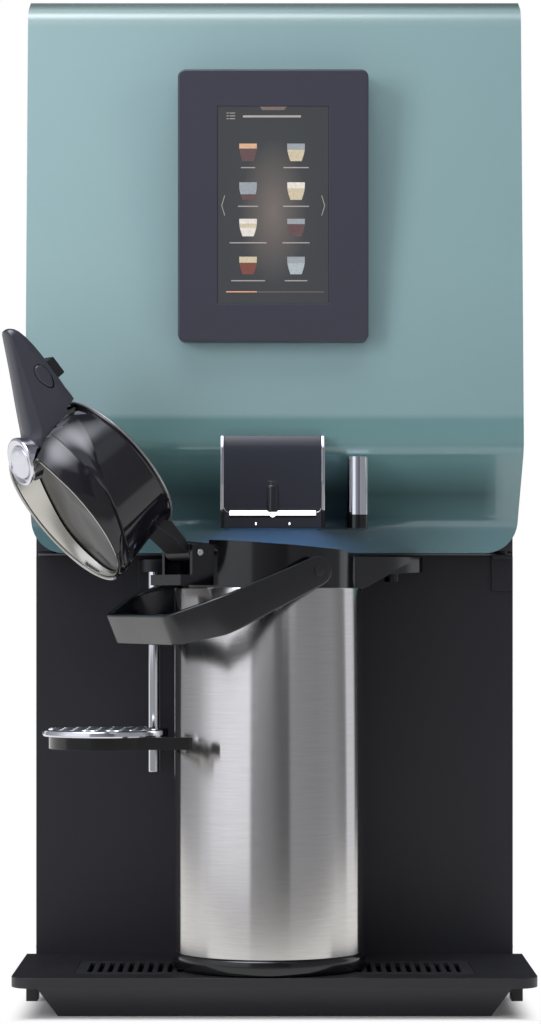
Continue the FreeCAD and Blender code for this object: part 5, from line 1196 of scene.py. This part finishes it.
@dataclass(frozen=True)
class LidRing:
    """A closed line round the lid, the same on both sides, in millimetres; its turn counts from the nose."""

    radii: Table
    heights: Table
    centre: float = 89.0
    pivot: float = 21.3
    press: float = 0.0665

    def at(self, turn: float) -> Flat:
        """Radius and height at a turn from the nose, in degrees."""
        turn = abs((turn + 180) % 360 - 180)
        return read_off(self.radii, turn), read_off(self.heights, turn)

    def point(self, turn: float) -> Point:
        """The point at a turn from the nose, in metres."""
        (radius, height), angle = self.at(turn), math.radians(turn)
        return mm(self.centre + radius * math.cos(angle), radius * math.sin(angle), height)

    def points(self, steps: int = 144) -> list[Point]:
        """Points all round, in metres."""
        return [self.point(360 * step / steps) for step in range(steps)]

    def rows(self) -> Rows:
        """Turn, radius and height at steps along one side."""
        return [(turn, *self.at(turn)) for turn in range(0, 181, 6)]

    def moved(self, out: float, up: float) -> "LidRing":
        """The same line further out and up."""
        return LidRing(tuple((t, radius + out) for t, radius in self.radii),
                       tuple((t, height + up) for t, height in self.heights))

    def pressed(self) -> "LidRing":
        """The same line as low as the lever goes when it turns about its pivot."""
        return through([(t, r, h - self.press * (self.centre + r * math.cos(math.radians(t)) - self.pivot))
                        for t, r, h in self.rows()])

    def toward(self, other: "LidRing", share: float, out: float = 0.0, up: float = 0.0) -> "LidRing":
        """A line part of the way to another, moved out and up."""
        return through([(t, r + (r2 - r) * share + out, h + (h2 - h) * share + up)
                        for (t, r, h), (_, r2, h2) in zip(self.rows(), other.rows())])


def through(rows: Rows) -> LidRing:
    """The line through rows of turn, radius and height."""
    return LidRing(tuple((t, r) for t, r, _ in rows), tuple((t, h) for t, _, h in rows))


def circle(radius: float, height: float) -> LidRing:
    """A level circle round the lid's axis."""
    return LidRing(((0, radius),), ((0, height),))


@dataclass
class FlaskLid(Assembly):
    """The open lid: faceted dome, dish with its silver band, nose, clip, lock and badge; a counts from the
    hinge toward the nose, v across and h up from the closed lid's foot, all in millimetres."""

    copies: Copies = (Copy("lid_bellows", WHITE_PLASTIC, 0.0008, 3),)
    hinge: Flat = (-74.0, 353.0)
    open_angle: float = 130.0
    wall_top: LidRing = LidRing(
        ((0, 60.4), (17, 59.6), (34, 58.4), (51, 58.4), (68, 58.2), (100, 57.3), (125, 57.6), (155, 61.5),
         (180, 64.5)),
        ((0, 10), (17, 11.5), (34, 16.4), (51, 24), (68, 32.5), (100, 43), (125, 47.5), (155, 47.5),
         (180, 47)))
    shoulder: LidRing = LidRing(
        ((0, 61.5), (24, 58.2), (42, 55.5), (66, 54.3), (92, 54.4), (125, 56.8), (155, 62.5), (180, 66)),
        ((0, 37), (24, 36.6), (42, 38.6), (66, 40.9), (92, 43.5), (125, 48.8), (155, 50.6), (180, 51)))
    edge: LidRing = LidRing(
        ((0, 55.2), (30, 53.5), (60, 50.9), (90, 50.9), (120, 54.7), (150, 60.9), (180, 64.4)),
        ((0, 55.5), (15, 56.5), (40, 58.8), (60, 59.4), (180, 59.2)))
    floor_edge: LidRing = LidRing(
        ((0, 49.5), (30, 46), (60, 41.3), (90, 40.7), (120, 45.3), (150, 54.8), (180, 61.2)),
        ((0, 43), (30, 43.1), (60, 44.2), (90, 46.8), (120, 50.4), (150, 52.4), (180, 54.6)))
    rim: Outline = ((45.5, 30), (46, 0.8), (46.8, 0), (57.6, 0), (58.7, 0.7), (59, 2.0), (58.7, 3.3),
                    (57.4, 3.8))
    notch_ends: Flat = (136.2, 175.0)
    notch: Outline = ((-18.6, 17.3), (18.6, 17.3), (18.6, 42), (21.6, 50), (21.6, 90), (-21.6, 90),
                      (-21.6, 50), (-18.6, 42))
    slot_ends: Flat = (142.3, 175.0)
    slot: Outline = ((-18.6, 4.2), (18.6, 4.2), (18.6, 30), (-18.6, 30))
    arm: Rows = ((-2, 17, -3, 4), (6, 19.5, -1, 6), (20, 20.5, 0, 8), (34, 20.5, 0, 13), (42, 20, 0.5, 16))
    stations: Rows = (
        (139.0, 17.9, 1.4, 55.5), (144.5, 17.9, 0.8, 54.4), (148.0, 17.9, 0.4, 50.8),
        (152.0, 17.8, 0.1, 47.2), (156.0, 17.5, 0.1, 44.9), (162.0, 16.9, 0.2, 41.8),
        (170.0, 15.8, -0.3, 37.6), (178.0, 14.7, -0.6, 33.3), (186.0, 13.6, -0.8, 28.9),
        (194.0, 12.6, -0.8, 24.5), (202.0, 11.6, -0.4, 20.2), (210.0, 10.5, 0.6, 16.0),
        (216.0, 9.2, 2.0, 12.9), (219.6, 7.4, 3.7, 11.1), (221.6, 4.8, 5.6, 9.9))
    drum: Outline = ((64.0, -6), (64.0, 12.8), (60.3, 13.4), (60.3, 26.5))
    clip: Outline = ((170.6, -2.2), (170.6, -5.9), (171.1, -6.4), (184.9, -6.4), (185.4, -5.9),
                     (185.4, -2.2))
    slit: Rows = ((197.0, -9.2, 3.2, 0.35), (199.0, -9.2, 3.6, 0.8), (206.0, -8.3, 5.2, 0.8),
                  (209.0, -7.8, 6.0, 0.35))
    slit_across: Outline = ((-1, -3), (1, -3), (1, 1.4), (-1, 1.4))
    lock_middle: Flat = (179.2, 10.6)
    lock_size: Flat = (10.6, 5.6)
    lock_stages: Outline = ((0.5, -11.0), (0.5, -13.6), (0.7, -14.3), (1.3, -14.9), (2.4, -15.3),
                            (3.8, -15.5))
    lock_bar: Outline = ((1.6, 12.0), (1.6, -11.5))
    lock_recess: Outline = ((0.0, -24.0), (0.0, -7.6))
    lock_bore: Outline = ((1.2, -24.0), (1.2, 24.0))
    badge: Flat = (138.7, 62.2)
    badge_tilt: float = 25.4
    badge_ring: Rows = (
        (14.4, 11.4, -7), (18.0, 16.0, -11, 0.8), (19.6, 17.4, -5, 0.8), (20.3, 18.2, -1.2, 0.8),
        (20.2, 18.1, -0.2, 0.8), (19.6, 17.4, 0.6, 0.8), (18.7, 16.4, 0.9, 0.6), (16.6, 13.8, 0.1, 0.2),
        (15.8, 12.9, -0.6, 0), (15.4, 12.4, -1.6, 0))
    badge_face: Rows = ((15.2, 12.2, -5), (15.3, 12.3, -0.2), (15.0, 12.0, 0.4), (13.6, 10.8, 0.9),
                        (9, 7, 1.3), (3, 2.4, 1.45))
    line_width: float = 0.08

    def placed(self, piece: Piece) -> Piece:
        """Move a piece from the closed lid's frame to the row frame."""
        hinge = Matrix.Translation(mm(self.hinge[0], 0, self.hinge[1]))
        return moved(piece, Flask().place() @ hinge @ Matrix.Rotation(math.radians(-self.open_angle), 4, "Y"))

    def own_pieces(self) -> None:
        """The lid's dome, arm, dish, vent, nose, lock and badge."""
        for step in (self.dome, self.hinge_arm, self.dish, self.vent, self.nose, self.badge_plate, self.lock):
            step()

    def dome(self) -> None:
        """Rim, side wall, two shoulder facets and the pocket for the lever's dish."""
        wall, shoulder, edge = self.wall_top, self.shoulder, self.edge
        foot = circle(56.6, 4.6)
        rings = [*(circle(*ring) for ring in self.rim), foot, *self.crowned(foot, wall, 0.1), wall,
                 *self.crowned(wall, shoulder, 1.25), shoulder, *self.crowned(shoulder, edge, 1.05), edge,
                 edge.moved(-0.4, 0.15), edge.moved(-0.8, -0.5), edge.moved(-0.8, -2).pressed(),
                 edge.toward(self.floor_edge, 0.9, 1.4, -4.2).pressed()]
        dome = loft("lid_dome", [ring.points() for ring in rings], True)
        for ends, outline in ((self.notch_ends, self.notch), (self.slot_ends, self.slot)):
            dome = carved("lid_dome", dome, loft("notch", [[mm(a, v, h) for v, h in outline] for a in ends]))
        self.crease(dome, (foot, wall, shoulder, edge))
        dress(round_edges(self.placed(dome), 0.0003, 2, 10.0), LID_BLACK, "lid", "gloss_black", "lid_body")
        lip = wire("lid_rim_line", circle(59.0, 1.7).points(), 0.0008, True)
        dress(self.placed(lip), RIM_GREY, "lid", "gloss_black")
        seam = shoulder.moved(0.05, 0)
        seams = [wire("seam", [seam.point(side * turn) for turn in range(20, 100, 4)], 0.00035)
                 for side in (-1, 1)]
        dress(self.placed(joined("lid_facet_lines", seams)), LID_BLACK, "lid", "gloss_black")

    def crease(self, piece: Piece, lines: Sequence[LidRing]) -> None:
        """Keep a piece's edges sharp where they lie on the lid's facet lines.

        Args:
            piece: The piece, still in the closed lid's frame.
            lines: The lines.
        """
        def on_line(corner: Vector, line: LidRing) -> bool:
            """Tell whether a corner lies on a line.

            Args:
                corner: The corner, in metres.
                line: The line.

            Returns:
                True when its radius and its height are both the line's.
            """
            a, v, h = corner / MM
            radius, height = line.at(math.degrees(math.atan2(v, a - line.centre)))
            return max(abs(math.hypot(a - line.centre, v) - radius), abs(h - height)) < self.line_width

        corners = piece.data.vertices
        for edge in piece.data.edges:
            ends = [corners[number].co for number in edge.vertices]
            if any(all(on_line(end, line) for end in ends) for line in lines):
                edge.use_edge_sharp = True

    def crowned(self, first: LidRing, last: LidRing, swell: float, steps: int = 6) -> list[LidRing]:
        """Rings between two lines, bulging out in the middle by so many millimetres."""
        bulges = [(step / steps, swell * math.sin(math.pi * step / steps)) for step in range(1, steps)]
        return [first.toward(last, share, bulge, 0.3 * bulge) for share, bulge in bulges]

    def hinge_arm(self) -> None:
        """Knuckle and arm that join the lid to its pin."""
        knuckle = [[mm(x, v, z) for x, z in arc((0, 0), radius, 0, 360, 32)[:-1]]
                   for radius, v in ((6.0, -21.0), (6.5, -20.4), (6.5, 20.4), (6.0, 21.0))]
        arm = [[mm(a, v, h) for v, h in rounded_box(-half, half, low, high, 2.0, 4)]
               for a, half, low, high in self.arm]
        piece = self.placed(joined("lid_arm", [loft("knuckle", knuckle), loft("arm", arm)]))
        dress(round_edges(piece, 0.0004), MATT_BLACK, "lid", "gloss_black")

    def dish(self) -> None:
        """The lever's dished plate, the silver band on its slope and the bright trim on the lid's edge."""
        edge, low, middle = self.edge, self.floor_edge, circle(3.0, 48.0)
        floor = ((1.0, 0.4), (0.9, -1.0), (0.1, -1.0), (0, -0.1), (-0.5, 0.05))
        rings = [middle.moved(0, -2.4), low.toward(middle, 0.4, 0, -2.4), edge.toward(low, 0.9, 0, -2.5),
                 edge.moved(-2.0, -1.0), edge.toward(low, 0.12, -1.9, 0),
                 *(low.moved(*step) for step in floor),
                 low.toward(middle, 0.35), low.toward(middle, 0.7), middle]
        plate = loft("lever_dish", [ring.points() for ring in rings], crease=25.0)
        dress(self.placed(plate), DISH_BLACK, "pump_lever", "gloss_black")
        slope = [edge.moved(-1.5, -0.4), edge.moved(-1.4, 0.5), edge.moved(-1.9, 0.8),
                 *(self.band(share) for share in (0.12, 0.35, 0.65, 0.92, 1.0)),
                 low.moved(1.1, 0.5), edge.toward(low, 0.2, -1.5, 0)]
        hoop = loft("lid_silver_band", [ring.points() for ring in slope], True, 30.0)
        dress(self.placed(hoop), SATIN_SILVER, "pump_lever", "chrome", "lid_band")
        bead = [edge.moved(0.4 + math.sin(math.radians(turn)), 0.9).point(turn) for turn in range(6, 187, 3)]
        dress(self.placed(wire("lid_trim", bead, 0.0013)), TRIM_SILVER, "lid", "chrome")

    def band(self, share: float) -> LidRing:
        """Top face of the silver band, from its outer edge to the dish's floor."""
        swell = 0.8 * math.sin(math.pi * share)
        return self.edge.toward(self.floor_edge, share, 2.0 * share - 2.0, 0.7 + swell)

    def on_band(self, turn: float, share: float, lift: float) -> Point:
        """A point just over the silver band."""
        return self.band(share).moved(0, lift).point(turn)

    def vent(self) -> None:
        """Small grille on the silver band's far slope, beside the hinge."""
        spot = self.on_band
        tray = [[spot(turn, *corner) for corner in ((0.06, -0.3), (0.5, -0.3), (0.5, 0.15), (0.06, 0.15))]
                for turn in range(150, 167, 2)]
        dress(self.placed(loft("lid_vent", tray)), FOOT_RUBBER, "pump_lever", "gloss_black")
        ribs = []
        for turn in range(151, 166, 2):
            line = [spot(turn, 0.08, 0.2), spot(turn + 0.8, 0.28, 0.25), spot(turn, 0.48, 0.2)]
            ribs.append(wire("rib", line, 0.0002))
        outline = [spot(turn, 0.05, 0.2) for turn in range(149, 168, 2)]
        outline += [spot(turn, 0.52, 0.2) for turn in range(167, 148, -2)]
        ribs.append(wire("rib", outline, 0.00035, True))
        dress(self.placed(joined("lid_vent_ribs", ribs)), SATIN_SILVER, "pump_lever", "chrome")

    def section(self, a: float, half: float, low: float, high: float) -> list[Point]:
        """One cross-section of the nose: crowned top, straight sides and bevelled underside.

        Args:
            a: How far from the hinge.
            half: Half its width.
            low: Its lowest height.
            high: Its highest height.

        Returns:
            Points round the section, in metres.
        """
        rise = high - low
        corners = [(0.5 * half, high, 0.5), (0.96 * half, high - 0.2 * rise, 0.1),
                   (half, low + 0.26 * rise, 0.3), (0.74 * half, low, 0.3)]
        corners += [(-v, h, share) for v, h, share in reversed(corners)]
        ring = []
        for index, (v, h, share) in enumerate(corners):
            spot = Vector((v, h))
            before, after = (spot.lerp(Vector(corners[number % len(corners)][:2]), share)
                             for number in (index - 1, index + 1))
            for t in (step / 5 for step in range(6)):
                ring.append(mm(a, *(before * (1 - t) ** 2 + spot * 2 * t * (1 - t) + after * t ** 2)))
        return ring

    def nose(self) -> None:
        """The nose that grows out of the lever, with its clip, slit and lock recess."""
        body = loft("lever_nose", [self.section(*station) for station in self.stations], crease=50.0)
        slit = [[mm(a, v + (side * half + along) * 0.7, h + (side * half - along) * 0.7)
                 for side, along in self.slit_across] for a, v, h, half in self.slit]
        for cutter in ([circle(*ring).points() for ring in self.drum], self.buttons(self.lock_recess),
                       self.buttons(self.lock_bore), slit):
            body = carved("lever_nose", body, loft("cutter", cutter))
        body = round_edges(self.placed(body), 0.0006, 3, 32.0)
        dress(body, NOSE_PLASTIC, "pump_lever", "gloss_black", "pump_lever")
        clip = [[mm(a, v, h) for v, h in rounded_box(-10.0, 4.5, low, 0.5, 0.8, 3)] for a, low in self.clip]
        dress(self.placed(loft("lever_clip", clip)), MATT_BLACK, "pump_lever", "gloss_black")

    def buttons(self, stages: Outline) -> list[list[Point]]:
        """Egg-shaped rings of the lock, its broad end toward the nose's tip.

        Args:
            stages: How far inside the recess each ring lies, and where across the nose.

        Returns:
            The rings' points, in metres.
        """
        (a, h), (along, up) = self.lock_middle, self.lock_size
        turns = [2 * math.pi * step / 40 for step in range(40)]
        return [[mm(a + (along - inset) * math.cos(turn), v,
                    h + (up - inset + 0.7 * math.cos(turn)) * math.sin(turn)) for turn in turns]
                for inset, v in stages]

    def lock(self) -> None:
        """The lock's crowned button in its recess, on a bar through the nose."""
        parts = [loft("lock", self.buttons(stages)) for stages in (self.lock_stages, self.lock_bar)]
        button = self.placed(joined("lock_button", parts))
        dress(button, NOSE_PLASTIC, "lever_lock", "gloss_black", "lever_lock")

    def badge_plate(self) -> None:
        """Oval badge in its broad chrome ring on the sloping front."""
        def ovals(rows: Rows) -> list[list[Point]]:
            """Ovals round the badge's middle, from their halves across and along, rise and shift."""
            turns = [2 * math.pi * step / 96 for step in range(96)]
            return [[mm(sum(shift) + along * math.cos(turn), across * math.sin(turn), rise) for turn in turns]
                    for across, along, rise, *shift in rows]

        slope = Matrix.Translation(mm(self.badge[0], 0, self.badge[1])) @ \
            Matrix.Rotation(math.radians(self.badge_tilt), 4, "Y")
        ring = moved(loft("badge_ring", ovals(self.badge_ring), True, 40.0), slope)
        dress(self.placed(ring), CHROME, "pump_lever", "chrome")
        face = moved(loft("badge_face", ovals(self.badge_face)), slope)
        dress(self.placed(face), BADGE_SILVER, "pump_lever", "chrome")


@dataclass(frozen=True)
class Lamp:
    """One soft rectangular lamp."""

    name: str
    place: Point
    size: Flat
    power: float
    colour: Colour = (1, 1, 1)

    def light(self, aim: Point) -> None:
        """Set the lamp up.

        Args:
            aim: The point it faces.
        """
        light = bpy.data.lights.new(self.name, "AREA")
        light.shape = "RECTANGLE"
        light.size, light.size_y = self.size
        light.energy = self.power
        light.color = self.colour
        holder = as_object(self.name, light)
        holder.visible_glossy = False
        holder.location = self.place
        holder.rotation_mode = "QUATERNION"
        holder.rotation_quaternion = (Vector(aim) - Vector(self.place)).to_track_quat("-Z", "Y")


@dataclass
class Studio(Assembly):
    """Pale floor, soft lamps, white surroundings and the camera."""

    lens: float = 113.16
    camera_place: Point = (0, -2.685, 0.319)
    shift_x: float = -0.0039
    shift_y: float = 0.083
    aim: Point = (0, -0.1, 0.4)
    lamps: tuple[Lamp, ...] = (Lamp("left_box", (-1.6, -1.7, 1.1), (0.8, 1.5), 24, (0.97, 0.96, 1.0)),
                               Lamp("right_box", (1.7, -1.3, 0.9), (0.5, 1.4), 4.5, (1.0, 0.99, 0.96)),
                               Lamp("top_box", (0, -0.6, 2.2), (1.6, 1.0), 16),
                               Lamp("rear_box", (0.3, 1.8, 1.5), (1.4, 1.0), 12))
    fill: float = 0.33
    fill_colour: Colour = (0.95, 0.96, 1.0)
    floor_half: float = 14.0
    floor_gap: float = 0.0002
    footprint: Flat = (0.188, 0.252)
    floor_fade: float = 0.016
    floor_in_mirrors: float = 0.35
    floor_mirrored_from: Flat = (-1.0, -0.65)
    horizon: Table = (
        (-180, 0.05), (-153, 0.05), (-150, 0.85), (-141, 0.85), (-138, 0.35), (-112, 0.45), (-97, 0.55),
        (-80, 0.9), (-72, 1.1), (-50, 1.2), (-25, 1.15), (-21, 0.38), (-8, 0.3), (2, 0.25), (14, 0.16),
        (23, 0.14), (27, 0.38), (60, 0.34), (84, 0.37), (100, 0.26), (106, 0.28), (109, 0.9), (124, 0.85),
        (128, 0.06), (180, 0.05))
    above: Table = (
        (-180, 0.15), (-120, 0.3), (-100, 0.5), (-92, 1.1), (4, 1.15), (8, 0.2), (16, 0.2), (19, 0.85),
        (34, 0.8), (38, 0.3), (65, 0.2), (120, 0.2), (180, 0.15))
    above_from: Flat = (0.5, 0.62)
    above_fade: tuple[float, ...] = (0.75, 1.0, 1.0, 0.6)
    mirrored_colour: Colour = (0.9, 0.92, 1.0)
    glow: Flat = (-38.0, 59.0)
    glow_reach: float = 30.0
    glow_foot: Flat = (0.4, 0.68)
    glow_power: float = 8.5
    glow_falloff: float = 1.8

    def own_pieces(self) -> None:
        """The floor, the surroundings, the lamps and the camera."""
        self.floor()
        self.surroundings()
        for lamp in self.lamps:
            lamp.light(self.aim)
        self.camera()

    def seen_white(self, nodes: Nodes, plain: Any, white: Any, *rays: str) -> Any:
        """Show a white shader to camera rays and others, and a plain one to the rest.

        Args:
            nodes: The node tree.
            plain: Output of the plain shader.
            white: Output of the white shader.
            rays: The other kinds of ray that see the white shader.

        Returns:
            The shader's output.
        """
        path = nodes.add("LightPath", {}).outputs
        total = path["Is Camera Ray"]
        for name in rays:
            total = nodes.calc("MAXIMUM", total, path[name])
        return nodes.blend(total, plain, white)

    def floor(self) -> None:
        """A wide pale floor that fades to white away from the machine."""
        shape = bmesh.new()
        bmesh.ops.create_grid(shape, x_segments=1, y_segments=1, size=self.floor_half)
        ground = from_bmesh("studio_floor", shape)
        ground.location.z = -self.floor_gap
        graph = Graph("studio floor")
        graph.surface({"Base Color": tone(248, 248, 248), "Roughness": graph.span(graph.noise(6.0), 0.5, 0.6),
                       "Specular IOR Level": 0.2})
        beside = [graph.calc("SUBTRACT", graph.calc("ABSOLUTE", graph.axis(name), 0.0), half)
                  for name, half in zip("XY", self.footprint)]
        mirrored = graph.add("LightPath", {}).outputs["Is Glossy Ray"]
        front = graph.eased(graph.axis("Y"), *self.floor_mirrored_from, 1.0 - self.floor_in_mirrors, 0.0)
        strength = graph.calc("SUBTRACT", 1.0, graph.calc("MULTIPLY", mirrored, front))
        white = graph.add("Emission", {"Strength": strength}).outputs[0]
        plain = graph.shader.outputs[0]
        away = graph.eased(graph.calc("MAXIMUM", *beside), -0.01, self.floor_fade)
        faded = graph.blend(away, plain, white)
        seen = self.seen_white(graph, plain, faded, "Is Glossy Ray", "Is Transmission Ray")
        graph.fill(graph.tree.nodes["Material Output"], {"Surface": seen})
        ground.data.materials.append(graph.material)

    def surroundings(self) -> None:
        """White backdrop for the camera, a plain soft light, and a studio in reflections."""
        world = bpy.data.worlds.new("studio")
        bpy.context.scene.world = world
        world.use_nodes = True
        nodes = Nodes(world.node_tree)
        plain = nodes.tree.nodes["Background"]
        nodes.fill(plain, {"Color": self.fill_colour, "Strength": self.fill})
        white = nodes.add("Background", {"Color": (1, 1, 1), "Strength": 1.0}).outputs[0]
        mirrored = nodes.add("LightPath", {}).outputs["Is Glossy Ray"]
        mirror = nodes.blend(mirrored, plain.outputs[0], self.reflected(nodes))
        seen = self.seen_white(nodes, mirror, white, "Is Transmission Ray")
        nodes.fill(nodes.tree.nodes["World Output"], {"Surface": seen})

    def reflected(self, nodes: Nodes) -> Any:
        """The studio as shiny surfaces see it: bright and dark sides, and a soft box high on the left.

        Args:
            nodes: The world's node tree.

        Returns:
            The shader's output.
        """
        place = nodes.add("TexCoord", {}).outputs["Generated"]
        x, y, height = nodes.add("SeparateXYZ", {0: place}).outputs
        turn = nodes.calc("ARCTAN2", x, nodes.calc("MULTIPLY", y, -1.0))
        share = nodes.calc("ADD", nodes.calc("DIVIDE", turn, 2 * math.pi), 0.5)
        low, high = (nodes.ramp(share, [((side + 180) / 360, (level, level, level)) for side, level in table])
                     for table in (self.horizon, self.above))
        high = nodes.calc("MULTIPLY", high, nodes.eased(height, *self.above_fade))
        up = nodes.eased(height, *self.above_from)
        around = nodes.calc("ADD", nodes.calc("MULTIPLY", low, nodes.calc("SUBTRACT", 1.0, up)),
                            nodes.calc("MULTIPLY", high, up))
        side, rise = (math.radians(angle) for angle in self.glow)
        middle = (math.cos(rise) * math.sin(side), -math.cos(rise) * math.cos(side), math.sin(rise))
        facing = nodes.add("VectorMath", {0: place, 1: middle}, operation="DOT_PRODUCT").outputs["Value"]
        edge = math.cos(math.radians(self.glow_reach))
        near = nodes.calc("DIVIDE", nodes.calc("SUBTRACT", facing, edge), 1.0 - edge)
        near = nodes.calc("MAXIMUM", near, 0.0)
        hot = nodes.calc("MULTIPLY", nodes.calc("POWER", near, self.glow_falloff), self.glow_power)
        hot = nodes.calc("MULTIPLY", hot, nodes.eased(height, *self.glow_foot))
        seen = nodes.calc("ADD", around, hot)
        return nodes.add("Background", {"Color": self.mirrored_colour, "Strength": seen}).outputs[0]

    def camera(self) -> None:
        """A level camera at the photograph's place."""
        data = bpy.data.cameras.new("camera")
        data.lens = self.lens
        data.sensor_width = 36.0
        data.shift_x = self.shift_x
        data.shift_y = self.shift_y
        data.clip_end = 50
        holder = as_object("camera", data)
        holder.location = self.camera_place
        holder.rotation_euler = (math.radians(90), 0, 0)
        bpy.context.scene.camera = holder


def main() -> None:
    """Build every sub-assembly."""
    logging.basicConfig(level=logging.INFO, format="%(name)s: %(message)s")
    bpy.context.scene.view_settings.view_transform = "Standard"
    assemblies = {"cabinet": Cabinet(), "insides": INSIDES, "door": DOOR, "touch screen": TouchScreen(),
                  "outlet": Outlet(), "drip tray": DRIP_TRAY, "cup holder": CupHolder(), "flask": Flask(),
                  "flask lid": FlaskLid(), "studio": Studio()}
    for name, assembly in assemblies.items():
        LOG.info("building the %s", name)
        assembly.build()
    bpy.context.view_layer.update()


if __name__ == "__main__":
    main()
